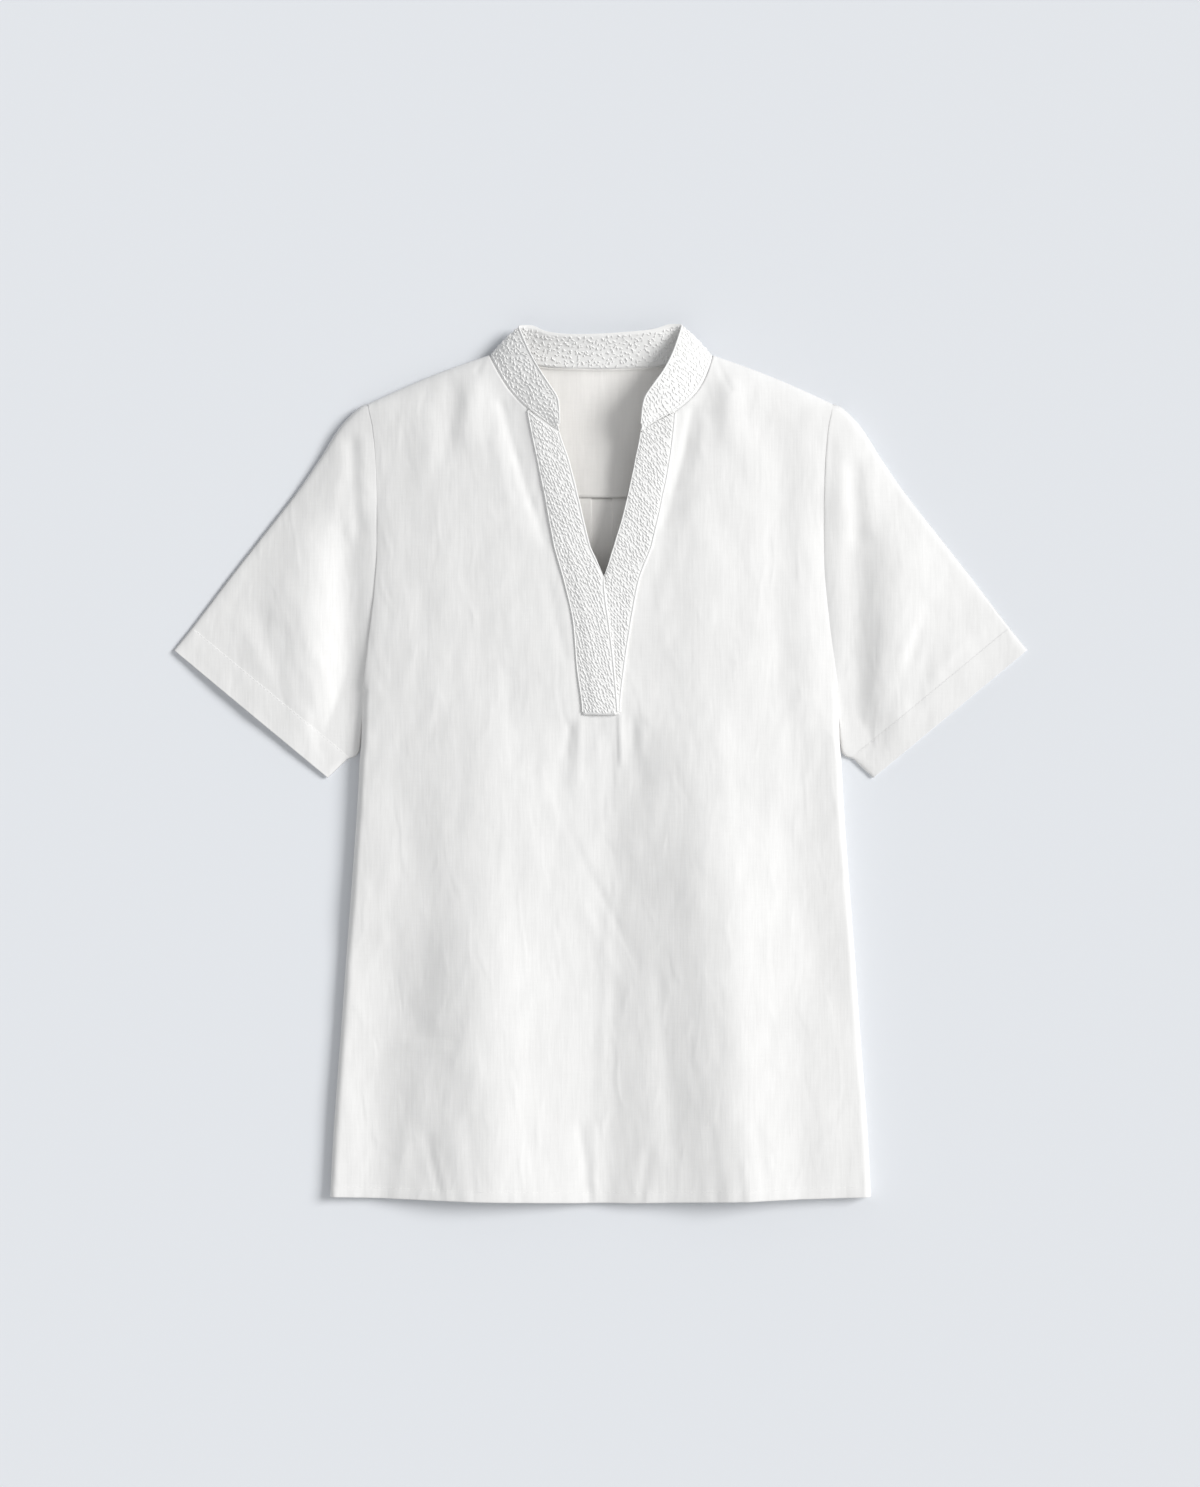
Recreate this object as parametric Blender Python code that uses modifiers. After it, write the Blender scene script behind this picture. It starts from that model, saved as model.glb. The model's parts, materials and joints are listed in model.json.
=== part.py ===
"""Mandarin collar top in white linen, laid out flat on its back.

Metres, +Z up. +X is the top's own left as it lies face up, seen from above
as the right-hand side, and +Y runs from the hem to the collar. The origin is
the middle of the ground box, on the surface that the top lies on.
"""
from collections import namedtuple
from math import cos, exp, hypot, pi, sin, sqrt

import bmesh
import bpy
from mathutils import Vector

# Cloth and seams
CLOTH = 0.0014          # wall of a single layer of cloth
BAND = 0.0016           # wall of a faced placket band
STAND = 0.0018          # wall of the faced collar stand
SEAM_GAP = 0.0003       # clearance between two pieces at a seam
REST_GAP = 0.0005       # clearance under a band that lies on the front
ARMHOLE_GAP = 0.0004    # clearance between a body panel and a sleeve head
SEAM_Z = 0.0056         # height of the side and shoulder seams
SEAM_DROP = 0.0010      # how far the back ends below the front at those seams
SIDE_ROLL = 0.0090      # plan width over which the front rolls down at a side
UNDER_ROLL = 0.0070     # plan width over which the back rolls up at an edge

# Body outline
CENTRE_X = 0.0027       # foot of the V and the centre line below it
HEM_Y = -0.3652         # hem at the centre
ARMPIT_Y = 0.0600       # where side seam and sleeve seam meet
YOKE_SEAM_Y = 0.2220    # seam between yoke and back
BAND_BOTTOM_Y = 0.0404  # square end of the left band
SHOULDER_BOW = 0.0020   # how far the shoulder line bows up between its ends
LOFT_POWER = 2.4        # how flat the front lies before it falls to the sides
SEAM_ROW_LIFT = 0.0006  # how far a hem's folded edge stands proud
BAND_SLANT = 0.25       # how steeply the rows of the front rise across a band

Width = namedtuple("Width", "y half")
SIDES = [
    Width(-0.3660, 0.2250), Width(-0.1800, 0.2128), Width(0.0030, 0.2004),
    Width(0.0600, 0.1975), Width(0.1030, 0.1927), Width(0.1360, 0.1885),
    Width(0.1750, 0.1855), Width(0.2160, 0.1852), Width(0.2540, 0.1865),
    Width(0.2800, 0.1890), Width(0.2990, 0.1929),
]

# Height of the front above the surface, at the centre and inside the edges
Loft = namedtuple("Loft", "y middle edge")
LOFTS = [
    Loft(-0.3660, 0.0140, 0.0110), Loft(-0.2000, 0.0185, 0.0120),
    Loft(0.0000, 0.0225, 0.0130), Loft(0.1500, 0.0260, 0.0135),
    Loft(0.2700, 0.0275, 0.0140), Loft(0.3400, 0.0255, 0.0140),
]

# V edges and the outer edges of the two bands
Slit = namedtuple("Slit", "y left right")
V_EDGES = [
    Slit(0.1529, CENTRE_X, CENTRE_X), Slit(0.1650, -0.0025, 0.0068),
    Slit(0.1790, -0.0090, 0.0112), Slit(0.2010, -0.0144, 0.0178),
    Slit(0.2220, -0.0194, 0.0231), Slit(0.2520, -0.0269, 0.0292),
    Slit(0.2740, -0.0344, 0.0334),
]
BAND_EDGES = [
    Slit(-0.3660, -0.0200, 0.0230), Slit(0.0404, -0.0148, 0.0158),
    Slit(0.0800, -0.0194, 0.0194), Slit(0.1200, -0.0228, 0.0254),
    Slit(0.1529, -0.0304, 0.0318), Slit(0.1790, -0.0380, 0.0420),
    Slit(0.2220, -0.0457, 0.0515), Slit(0.2520, -0.0520, 0.0573),
    Slit(0.2780, -0.0577, 0.0610), Slit(0.2910, -0.0602, 0.0615),
]

# Right-hand edge of the left band, where it lies over the right band
Overlap = namedtuple("Overlap", "y left right")
OVERLAPS = [
    Overlap(0.0404, 0.0000, 0.0140), Overlap(0.0638, 0.0010, 0.0123),
    Overlap(0.0904, 0.0015, 0.0098), Overlap(0.1179, 0.0020, 0.0065),
    Overlap(0.1404, 0.0024, 0.0034), Overlap(0.1529, CENTRE_X, CENTRE_X),
]

BAND_SECTIONS = 6       # points across a band
CROSS_TOP = 0.1900      # height where the left band starts to rise over the right
CROSS_FULL = 0.1609     # height where it has risen all the way
CROSS_START = 0.10      # share of its width where the rise starts
CROSS_WIDTH = 0.30      # share of its width over which it rises

# Neck seam from the top of the V to the shoulder, and the free edge of the stand
Neck = namedtuple("Neck", "left_x left_y right_x right_y")
NECK = [
    Neck(-0.0344, 0.2740, 0.0334, 0.2740), Neck(-0.0469, 0.2829, 0.0460, 0.2822),
    Neck(-0.0602, 0.2929, 0.0615, 0.2906), Neck(-0.0735, 0.3063, 0.0770, 0.3042),
    Neck(-0.0835, 0.3213, 0.0868, 0.3195), Neck(-0.0927, 0.3396, 0.0937, 0.3394),
]
Free = namedtuple("Free", "left_x left_y right_x right_y z")
FRONT_FREE_EDGE = [
    Free(-0.0338, 0.2800, 0.0335, 0.2800, 0.0300),
    Free(-0.0350, 0.3000, 0.0360, 0.3000, 0.0325),
    Free(-0.0430, 0.3135, 0.0440, 0.3130, 0.0325),
    Free(-0.0510, 0.3260, 0.0525, 0.3250, 0.0300),
    Free(-0.0595, 0.3420, 0.0605, 0.3410, 0.0240),
    Free(-0.0683, 0.3629, 0.0680, 0.3640, 0.0130),
]
BACK_NECK = [
    Neck(-0.0927, 0.3396, 0.0937, 0.3394), Neck(-0.0720, 0.3352, 0.0720, 0.3352),
    Neck(-0.0480, 0.3304, 0.0480, 0.3304), Neck(-0.0240, 0.3288, 0.0240, 0.3288),
    Neck(0.0000, 0.3283, 0.0000, 0.3283),
]
BACK_FREE_EDGE = [
    Free(-0.0683, 0.3629, 0.0680, 0.3640, 0.0130),
    Free(-0.0575, 0.3635, 0.0580, 0.3645, 0.0110),
    Free(-0.0440, 0.3578, 0.0440, 0.3600, 0.0125),
    Free(-0.0220, 0.3556, 0.0220, 0.3575, 0.0140),
    Free(0.0000, 0.3560, 0.0000, 0.3560, 0.0145),
]
BACK_NECK_Z = 0.0030    # height of the back neck seam above the surface
STAND_STEPS = 3         # quads over the height of the stand
STAND_SMOOTH = 2        # sections of the stand between two of its stations
STAND_GAP = 0.0006      # clearance between the stand and the neck edge

# Sections of a sleeve, from the armhole to the cuff, for the right-hand side
Section = namedtuple("Section", "top_x top_y under_x under_y loft lean")
SLEEVE = [
    Section(0.1933, 0.2990, 0.1979, 0.0600, 0.0140, 1.00),
    Section(0.2010, 0.2968, 0.1988, 0.0510, 0.0150, 0.72),
    Section(0.2168, 0.2805, 0.1994, 0.0410, 0.0156, 0.46),
    Section(0.2333, 0.2545, 0.2000, 0.0310, 0.0158, 0.25),
    Section(0.2530, 0.2258, 0.2007, 0.0220, 0.0154, 0.12),
    Section(0.2780, 0.1938, 0.2014, 0.0145, 0.0142, 0.04),
    Section(0.3050, 0.1595, 0.2026, 0.0090, 0.0126, 0.00),
    Section(0.3290, 0.1280, 0.2058, 0.0060, 0.0112, 0.00),
    Section(0.3395, 0.1142, 0.2082, 0.0050, 0.0106, 0.00),
    Section(0.3412, 0.1120, 0.2106, 0.0034, 0.0104, 0.00),
    Section(0.3554, 0.0946, 0.2270, -0.0120, 0.0098, 0.00),
]
SLEEVE_EDGE_Z = 0.0100  # height of a sleeve just inside its folded edges
SLEEVE_ROLL = 0.0100    # plan width over which a sleeve rolls down at an edge

# Rows of the front: where each starts at the inner edge and ends at the outer
# edge, how far its end rolls down, and how much of its height is left under
# the shoulder. A start above the top of the V is a place along the neck.
Row = namedtuple("Row", "inner outer roll rise")
BODY_ROWS = [
    Row(HEM_Y, -0.3602, 1.0, 1.0), Row(-0.3575, -0.3530, 1.0, 1.0),
    Row(-0.3550, -0.3505, 1.0, 1.0), Row(-0.3260, -0.3230, 1.0, 1.0),
    Row(-0.2880, -0.2860, 1.0, 1.0), Row(-0.2470, -0.2460, 1.0, 1.0),
    Row(-0.2050, -0.2050, 1.0, 1.0), Row(-0.1630, -0.1650, 1.0, 1.0),
    Row(-0.1220, -0.1260, 1.0, 1.0), Row(-0.0830, -0.0890, 1.0, 1.0),
    Row(-0.0480, -0.0550, 1.0, 1.0), Row(-0.0180, -0.0230, 1.0, 1.0),
    Row(0.0120, 0.0050, 1.0, 1.0), Row(BAND_BOTTOM_Y, 0.0300, 1.0, 1.0),
    Row(0.0600, 0.0480, 1.0, 1.0), Row(0.0800, ARMPIT_Y, 1.0, 1.0),
]
ARMHOLE_ROWS = [
    Row(0.0880, 0.0613, 0.72, 1.0), Row(0.0970, 0.0645, 0.56, 1.0),
    Row(0.1100, 0.0705, 0.48, 1.0), Row(0.1300, 0.0900, 0.46, 1.0),
    Row(0.1529, 0.1200, 0.44, 1.0), Row(0.1750, 0.1540, 0.34, 1.0),
    Row(0.1980, 0.1890, 0.16, 1.0), Row(0.2220, YOKE_SEAM_Y, 0.0, 1.0),
    Row(0.2480, 0.2480, 0.0, 1.0), Row(0.2740, 0.2680, 0.0, 1.0),
]
NECK_ROWS = [
    Row(2.6, 0.2800, 0.0, 1.00), Row(3.3, 0.2885, 0.0, 0.94),
    Row(4.0, 0.2942, 0.0, 0.80), Row(4.5, 0.2974, 0.0, 0.56),
    Row(4.88, 0.29875, 0.0, 0.25), Row(5.0, 0.2990, 0.0, 0.00),
]
NECK_SHARE = 2          # place along the neck where the bands' outer edges meet it

# Columns of the front over one band, and on from the band to the side
BAND_COLUMNS = [0.0, 0.36, 0.70, 1.0]
SIDE_COLUMNS = [0.11, 0.23, 0.36, 0.49, 0.62, 0.75, 0.87]
ROLL_ANGLES = [90.0, 55.0, 25.0, 8.0, 0.0]

# Folds: a soft ridge or trough along a straight line, half its width, its height
Fold = namedtuple("Fold", "x0 y0 x1 y1 width rise")
FRONT_FOLDS = [
    Fold(-0.1045, 0.0400, -0.1045, -0.3800, 0.040, 0.0040),
    Fold(0.0790, 0.0500, 0.1230, -0.3800, 0.040, 0.0045),
    Fold(-0.0350, -0.0100, -0.0190, -0.3800, 0.028, -0.0032),
    Fold(-0.1590, -0.0200, -0.1880, -0.3800, 0.026, -0.0030),
    Fold(0.1645, 0.0400, 0.1800, -0.2000, 0.020, -0.0022),
    Fold(0.1480, 0.2900, 0.1480, 0.0400, 0.014, -0.0020),
    Fold(0.0850, 0.2300, 0.0830, 0.0700, 0.022, 0.0018),
    Fold(-0.0800, 0.3080, -0.0420, 0.1850, 0.012, -0.0022),
    Fold(-0.1050, 0.3200, -0.1120, 0.2650, 0.010, 0.0020),
    Fold(0.0900, 0.3180, 0.0560, 0.2000, 0.012, -0.0022),
    Fold(0.1080, 0.3200, 0.1120, 0.2600, 0.010, 0.0018),
    Fold(-0.0270, 0.0320, -0.0330, -0.0400, 0.009, -0.0020),
    Fold(0.0260, 0.0350, 0.0330, -0.0350, 0.009, -0.0018),
    Fold(-0.1930, 0.2050, -0.2000, 0.0300, 0.015, -0.0036),
    Fold(0.1930, 0.2050, 0.2000, 0.0300, 0.015, -0.0036),
    Fold(0.0230, -0.0300, 0.0230, -0.4200, 0.026, -0.0016),
    Fold(0.0960, -0.0600, 0.1300, -0.4200, 0.034, 0.0034),
    Fold(-0.0850, -0.1400, -0.0800, -0.4400, 0.040, 0.0030),
    Fold(-0.1820, -0.1400, -0.1960, -0.4200, 0.030, -0.0022),
]
SLEEVE_FOLDS = [
    Fold(0.1990, 0.2700, 0.1985, 0.2100, 0.008, 0.0016),
    Fold(0.2100, 0.2700, 0.2090, 0.1900, 0.011, -0.0034),
    Fold(0.2070, 0.1900, 0.2020, 0.0250, 0.017, -0.0058),
    Fold(0.2560, 0.1900, 0.2480, 0.0350, 0.024, 0.0022),
    Fold(0.2850, 0.1300, 0.2560, 0.0480, 0.010, -0.0013),
]
FADE_WIDTHS = 2.2       # a fold dies out at its ends over this many widths,
FADE_SHARE = 0.7        # or over this share of its length if that is shorter

# Box pleat at the centre back: the folded layers stand up on the inner face
PLEAT_INNER = 0.0088    # from the centre line to the edge of each folded layer
PLEAT_OUTER = 0.0250    # from the centre line to the far side of the layers
PLEAT_RISE = 0.0014     # how far the layers stand up at the yoke seam
PLEAT_STEP = 0.0004     # half the width of the step at a fold's edge
PLEAT_SLOPE = 0.0040    # width of the slope at the far side of the layers
PLEAT_COLUMNS = [PLEAT_INNER - PLEAT_STEP, PLEAT_INNER + PLEAT_STEP, PLEAT_OUTER,
                 PLEAT_OUTER + PLEAT_SLOPE]
SHOULDER_LENGTH = 0.1   # about the length of the shoulder line
SHOULDER_SHARES = [0.75, 0.5, 0.25]
PROBE = 0.002           # distance over which slopes are measured

LINEN = (0.905, 0.905, 0.900)
THREAD = (0.930, 0.930, 0.925)


def clear_scene():
    """Remove every object that the new scene holds."""
    for item in list(bpy.data.objects):
        bpy.data.objects.remove(item, do_unlink=True)


def make_collection(name):
    """Add a collection to the scene."""
    group = bpy.data.collections.new(name)
    bpy.context.scene.collection.children.link(group)
    return group


def make_material(name, colour, roughness):
    """A plain Principled material."""
    material = bpy.data.materials.new(name)
    material.use_nodes = True
    shader = material.node_tree.nodes["Principled BSDF"]
    shader.inputs["Base Color"].default_value = (*colour, 1.0)
    shader.inputs["Roughness"].default_value = roughness
    shader.inputs["Metallic"].default_value = 0.0
    return material


def lerp(a, b, share):
    """Straight blend of two values."""
    return a + (b - a) * share


def smooth_step(share):
    """0 below 0, 1 above 1, and an even curve between."""
    share = min(max(share, 0.0), 1.0)
    return share * share * (3.0 - 2.0 * share)


def hermite(p0, p1, m0, m1, s):
    """Cubic through p0 and p1 with end slopes m0 and m1."""
    return ((2 * s**3 - 3 * s**2 + 1) * p0 + (s**3 - 2 * s**2 + s) * m0
            + (3 * s**2 - 2 * s**3) * p1 + (s**3 - s**2) * m1)


def along(table, place, column):
    """Smooth value of a column at a place counted in rows of the table."""
    last = len(table) - 1
    i = min(int(place), last - 1)
    values = [getattr(table[min(max(k, 0), last)], column) for k in range(i - 1, i + 3)]
    slopes = (values[2] - values[0]) / 2, (values[3] - values[1]) / 2
    return hermite(values[1], values[2], *slopes, place - i)


def at_y(table, y, column):
    """Straight-line value of a column at a height y of the table."""
    y = min(max(y, table[0].y), table[-1].y)
    for low, high in zip(table, table[1:]):
        if y <= high.y:
            share = (y - low.y) / (high.y - low.y)
            return lerp(getattr(low, column), getattr(high, column), share)
    return getattr(table[-1], column)


def half_width(y):
    """Half the width of the body, smooth over the table of sides."""
    y = min(max(y, SIDES[0].y), SIDES[-1].y)
    for i, (low, high) in enumerate(zip(SIDES, SIDES[1:])):
        if y <= high.y:
            return along(SIDES, i + (y - low.y) / (high.y - low.y), "half")
    return SIDES[-1].half


def fold_height(folds, x, y):
    """Sum of the soft ridges and troughs at a point in plan."""
    total = 0.0
    for fold in folds:
        run_x, run_y = fold.x1 - fold.x0, fold.y1 - fold.y0
        length = hypot(run_x, run_y)
        place = ((x - fold.x0) * run_x + (y - fold.y0) * run_y) / length
        off = ((x - fold.x0) * run_y - (y - fold.y0) * run_x) / length
        fade = min(FADE_WIDTHS * fold.width, FADE_SHARE * length)
        ends = smooth_step(0.5 + place / fade) * smooth_step(0.5 + (length - place) / fade)
        total += fold.rise * ends * exp(-(off / fold.width) ** 2)
    return total


def front_top(x, y):
    """Height of the front before it rolls down at its edges."""
    middle, edge = at_y(LOFTS, y, "middle"), at_y(LOFTS, y, "edge")
    spread = min(abs(x) / half_width(y), 1.0) ** LOFT_POWER
    return lerp(middle, edge, spread) + fold_height(FRONT_FOLDS, x, y)


def quarter(distance, radius):
    """Share of the full height at a distance from a rolled edge."""
    if distance >= radius:
        return 1.0
    return sqrt(max(0.0, 1.0 - (1.0 - distance / radius) ** 2))


def front_point(x, y, row):
    """Point on the outer face of the front at a place in plan."""
    side = half_width(y) - abs(x)
    keep = 1.0 - row.roll * (1.0 - quarter(max(side, 0.0), SIDE_ROLL))
    height = SEAM_Z + (front_top(x, y) - SEAM_Z) * keep * row.rise
    return Vector((x, y, height))


def side_name(side):
    """Column prefix for a side, -1 or +1."""
    return "left" if side < 0 else "right"


def neck_point(side, place):
    """Place on the front neck seam, in plan."""
    name = side_name(side)
    return along(NECK, place, name + "_x"), along(NECK, place, name + "_y")


def roll_offsets(radius):
    """Distances from a rolled edge at the edge's own sections."""
    return [radius * (1.0 - cos(pi / 2 * angle / 90.0)) for angle in ROLL_ANGLES]


def front_row(side, row, above_v):
    """Points of one row of half the front, from its inner to its outer edge."""
    outer = (side * half_width(row.outer), row.outer)
    if above_v:
        start, band = None, neck_point(side, row.inner)
    elif row.inner >= V_EDGES[-1].y:
        start, band = "neck", neck_point(side, NECK_SHARE)
    else:
        name = side_name(side)
        inner_x = at_y(V_EDGES, row.inner, name) if row.inner > V_EDGES[0].y else CENTRE_X
        start = (inner_x, row.inner)
        band_y = row.inner + BAND_SLANT * (at_y(V_EDGES, row.inner, "right") - CENTRE_X)
        band = (at_y(BAND_EDGES, band_y, name), band_y)
    plan = []
    if start == "neck":
        plan += [neck_point(side, share * NECK_SHARE) for share in BAND_COLUMNS[:-1]]
    elif start:
        plan += [(lerp(start[0], band[0], share), lerp(start[1], band[1], share))
                 for share in BAND_COLUMNS[:-1]]
    plan.append(band)
    reach = abs(outer[0] - band[0])
    ends = [1.0 - offset / reach for offset in roll_offsets(SIDE_ROLL)]
    for share in [s * ends[0] for s in SIDE_COLUMNS] + ends:
        bow = SHOULDER_BOW * sin(pi * share) * (1.0 - row.rise)
        plan.append((lerp(band[0], outer[0], share), lerp(band[1], outer[1], share) + bow))
    return [front_point(x, y, row) for x, y in plan]


def lift_hem(rows):
    """Raise the folded edge of a hem above its stitch line."""
    for row in rows:
        for point in row:
            point.z += SEAM_ROW_LIFT


def front_rows(side):
    """All rows of half the front, those above the V without band columns."""
    rows = [front_row(side, row, False) for row in BODY_ROWS + ARMHOLE_ROWS]
    lift_hem(rows[:2])
    return rows, [front_row(side, row, True) for row in NECK_ROWS]


def add_grid(mesh, rows, flip=False, ring=False):
    """Add the quads between rows of points to a bmesh."""
    made = [[mesh.verts.new(point) for point in row] for row in rows]
    for low, high in zip(made, made[1:]):
        count = len(low) if ring else len(low) - 1
        for i in range(count):
            k = (i + 1) % len(low)
            corners = [low[i], low[k], high[k], high[i]]
            mesh.faces.new(corners[::-1] if flip else corners)


def finish_sheet(name, mesh, thickness, material, group, thin=None):
    """Make the open surface a wall of cloth, thickened on its inner side."""
    bmesh.ops.remove_doubles(mesh, verts=mesh.verts, dist=0.00001)
    data = bpy.data.meshes.new(name)
    mesh.to_mesh(data)
    mesh.free()
    data.shade_smooth()
    data.materials.append(material)
    sheet = bpy.data.objects.new(name, data)
    group.objects.link(sheet)
    wall = sheet.modifiers.new("wall", "SOLIDIFY")
    wall.thickness = thickness
    wall.offset = -1.0
    wall.use_even_offset = True
    wall.use_quality_normals = True
    if thin:
        weights = sheet.vertex_groups.new(name="layers")
        for vertex in data.vertices:
            weights.add([vertex.index], thin(vertex.co), "REPLACE")
        wall.vertex_group = weights.name
    return sheet


def make_front(material, group):
    """Front panel: two halves joined on the centre line below the V."""
    mesh = bmesh.new()
    for side in (-1, 1):
        low, high = front_rows(side)
        flip = side < 0
        add_grid(mesh, low, flip)
        joint = low[-1][len(BAND_COLUMNS) - 1:]
        add_grid(mesh, [joint] + high, flip)
    return finish_sheet("front_body", mesh, CLOTH, material, group)


def back_height(x, y, edge_roll):
    """Height of the back's outer face, which rolls up at a side seam."""
    side = max(half_width(y) - abs(x), 0.0)
    top = SEAM_Z - SEAM_DROP
    return top * edge_roll * (1.0 - quarter(side, UNDER_ROLL))


def under_columns(width):
    """Places across half a back panel, from the centre to its edge."""
    inner = [0.0] + PLEAT_COLUMNS
    flat = [lerp(PLEAT_COLUMNS[-1], width - UNDER_ROLL, k / 5) for k in range(1, 5)]
    return inner + flat + [width - offset for offset in roll_offsets(UNDER_ROLL)]


def mirrored(half):
    """Full row of places from the places of its right half."""
    return [-x for x in reversed(half[1:])] + half


def pleat_share(point):
    """Share of the back's full wall: more than one layer beside the pleat."""
    plain = CLOTH / (CLOTH + PLEAT_RISE)
    from_centre = abs(point.x)
    if not PLEAT_INNER < from_centre < PLEAT_OUTER + PLEAT_STEP:
        return plain
    fade = smooth_step((point.y - HEM_Y) / (YOKE_SEAM_Y - HEM_Y))
    return lerp(plain, 1.0, fade)


def make_back(material, group):
    """Back panel below the yoke, flat where it rests, with its box pleat."""
    rows = []
    top_y = YOKE_SEAM_Y - SEAM_GAP / 2
    levels = [row for row in BODY_ROWS + ARMHOLE_ROWS if row.outer <= YOKE_SEAM_Y]
    for row in levels:
        y = min(row.outer, top_y)
        sag = (row.inner - row.outer) if row is levels[0] else 0.0
        width = half_width(y)
        points = []
        for x in mirrored(under_columns(width)):
            dip = sag * (1.0 - (x / width) ** 2)
            points.append(Vector((x, y + dip, back_height(x, y, row.roll))))
        rows.append(points)
    mesh = bmesh.new()
    add_grid(mesh, rows, flip=True)
    return finish_sheet("back_body", mesh, CLOTH + PLEAT_RISE, material, group, pleat_share)


def shoulder_point(side, share):
    """Place on the shoulder line from the neck to the armhole, in plan."""
    neck_x, neck_y = neck_point(side, len(NECK) - 1)
    end_y = NECK_ROWS[-1].outer
    end_x = side * half_width(end_y)
    return (lerp(neck_x, end_x, share),
            lerp(neck_y, end_y, share) + SHOULDER_BOW * sin(pi * share))


def back_neck_point(side, place):
    """Point on the back neck seam, on the outer face."""
    name = side_name(side)
    share = smooth_step(place)
    z = lerp(SEAM_Z - SEAM_DROP, BACK_NECK_Z, share)
    return Vector((along(BACK_NECK, place, name + "_x"), along(BACK_NECK, place, name + "_y"), z))


def yoke_top():
    """Upper edge of the yoke, from one shoulder round the neck to the other."""
    seam = SEAM_Z - SEAM_DROP
    outer = [1.0 - offset / SHOULDER_LENGTH for offset in reversed(roll_offsets(UNDER_ROLL))]
    shares = outer + SHOULDER_SHARES
    left = [Vector((*shoulder_point(-1, share), seam)) for share in shares]
    right = [Vector((*shoulder_point(1, share), seam)) for share in reversed(shares)]
    last = len(BACK_NECK) - 1
    neck = [back_neck_point(-1, place) for place in range(last)]
    neck += [back_neck_point(1, place) for place in range(last, -1, -1)]
    return left + neck + right


def make_yoke(material, group):
    """Back yoke, flat where it rests, its upper edge turned up to the seam."""
    top = yoke_top()
    bottom_y = YOKE_SEAM_Y + SEAM_GAP / 2
    levels = [row.outer for row in ARMHOLE_ROWS if row.outer > YOKE_SEAM_Y]
    levels += [row.outer for row in NECK_ROWS]
    levels = [bottom_y] + levels
    end_y = NECK_ROWS[-1].outer
    spread = half_width(end_y)
    rows = []
    for level in levels:
        share = (level - bottom_y) / (end_y - bottom_y)
        points = []
        for edge in top:
            y = lerp(bottom_y, edge.y, share)
            x = edge.x * half_width(level) / spread
            below = max(edge.y - y, 0.0)
            z = edge.z * (1.0 - quarter(below, UNDER_ROLL))
            points.append(Vector((x, y, z)))
        rows.append(points)
    mesh = bmesh.new()
    add_grid(mesh, rows, flip=True)
    return finish_sheet("back_yoke", mesh, CLOTH, material, group)


def armhole_levels():
    """Rows of the body at the armhole, from the shoulder down to the armpit."""
    rows = [BODY_ROWS[-1]] + ARMHOLE_ROWS + NECK_ROWS
    return rows[::-1]


def sleeve_point(side, section, share, row, front):
    """Point on the outer face of a sleeve, on its upper or its lower layer."""
    top = (side * section.top_x, section.top_y)
    under = (side * section.under_x, section.under_y)
    x, y = lerp(top[0], under[0], share), lerp(top[1], under[1], share)
    head, foot = SLEEVE[0], NECK_ROWS[-1].outer - ARMPIT_Y
    straight = lerp(head.top_x, head.under_x, share)
    level = NECK_ROWS[-1].outer - share * foot
    bow = half_width(level) + ARMHOLE_GAP - straight
    x += side * bow * section.lean
    span = hypot(top[0] - under[0], top[1] - under[1])
    ends = quarter(share * span, SLEEVE_ROLL) * quarter((1.0 - share) * span, SLEEVE_ROLL)
    if not front:
        rolled = SEAM_Z * (1.0 - ends)
        seamed = (SEAM_Z - SEAM_DROP) * max(row.roll, 1.0 - quarter(share * foot, UNDER_ROLL))
        return Vector((x, y, lerp(rolled, seamed, section.lean)))
    crown = lerp(SLEEVE_EDGE_Z, section.loft, sin(pi * share))
    free = SEAM_Z + (crown + fold_height(SLEEVE_FOLDS, abs(x), y) - SEAM_Z) * ends
    width = half_width(level)
    seamed = SEAM_Z + (front_top(side * width, level) - SEAM_Z) * (1.0 - row.roll) * row.rise
    return Vector((x, y, lerp(free, seamed, section.lean)))


def make_sleeve(side, name, material, group):
    """Open sleeve tube from the armhole to the cuff."""
    levels = armhole_levels()
    top_y, foot = levels[0].outer, levels[0].outer - ARMPIT_Y
    shares = [(top_y - row.outer) / foot for row in levels]
    rings = []
    for section in SLEEVE:
        over = [sleeve_point(side, section, share, row, True) for share, row in zip(shares, levels)]
        below = [sleeve_point(side, section, share, row, False) for share, row in zip(shares, levels)]
        rings.append(over + below[-2:0:-1])
    for point in rings[-1][:len(levels)] + rings[-2][:len(levels)]:
        point.z += SEAM_ROW_LIFT
    mesh = bmesh.new()
    add_grid(mesh, rings, flip=side < 0, ring=True)
    return finish_sheet(name, mesh, CLOTH, material, group)


def front_normal(x, y):
    """Unit normal of the front's outer face away from its rolled edges."""
    slope_x = (front_top(x + PROBE, y) - front_top(x - PROBE, y)) / (2 * PROBE)
    slope_y = (front_top(x, y + PROBE) - front_top(x, y - PROBE)) / (2 * PROBE)
    return Vector((-slope_x, -slope_y, 1.0)).normalized()


def on_row(points, x):
    """Point of a row of the front at a place across it."""
    points = sorted(points, key=lambda point: point.x)
    for low, high in zip(points, points[1:]):
        if low.x <= x <= high.x:
            return low.lerp(high, (x - low.x) / (high.x - low.x))
    return points[0].copy() if x < points[0].x else points[-1].copy()


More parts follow.
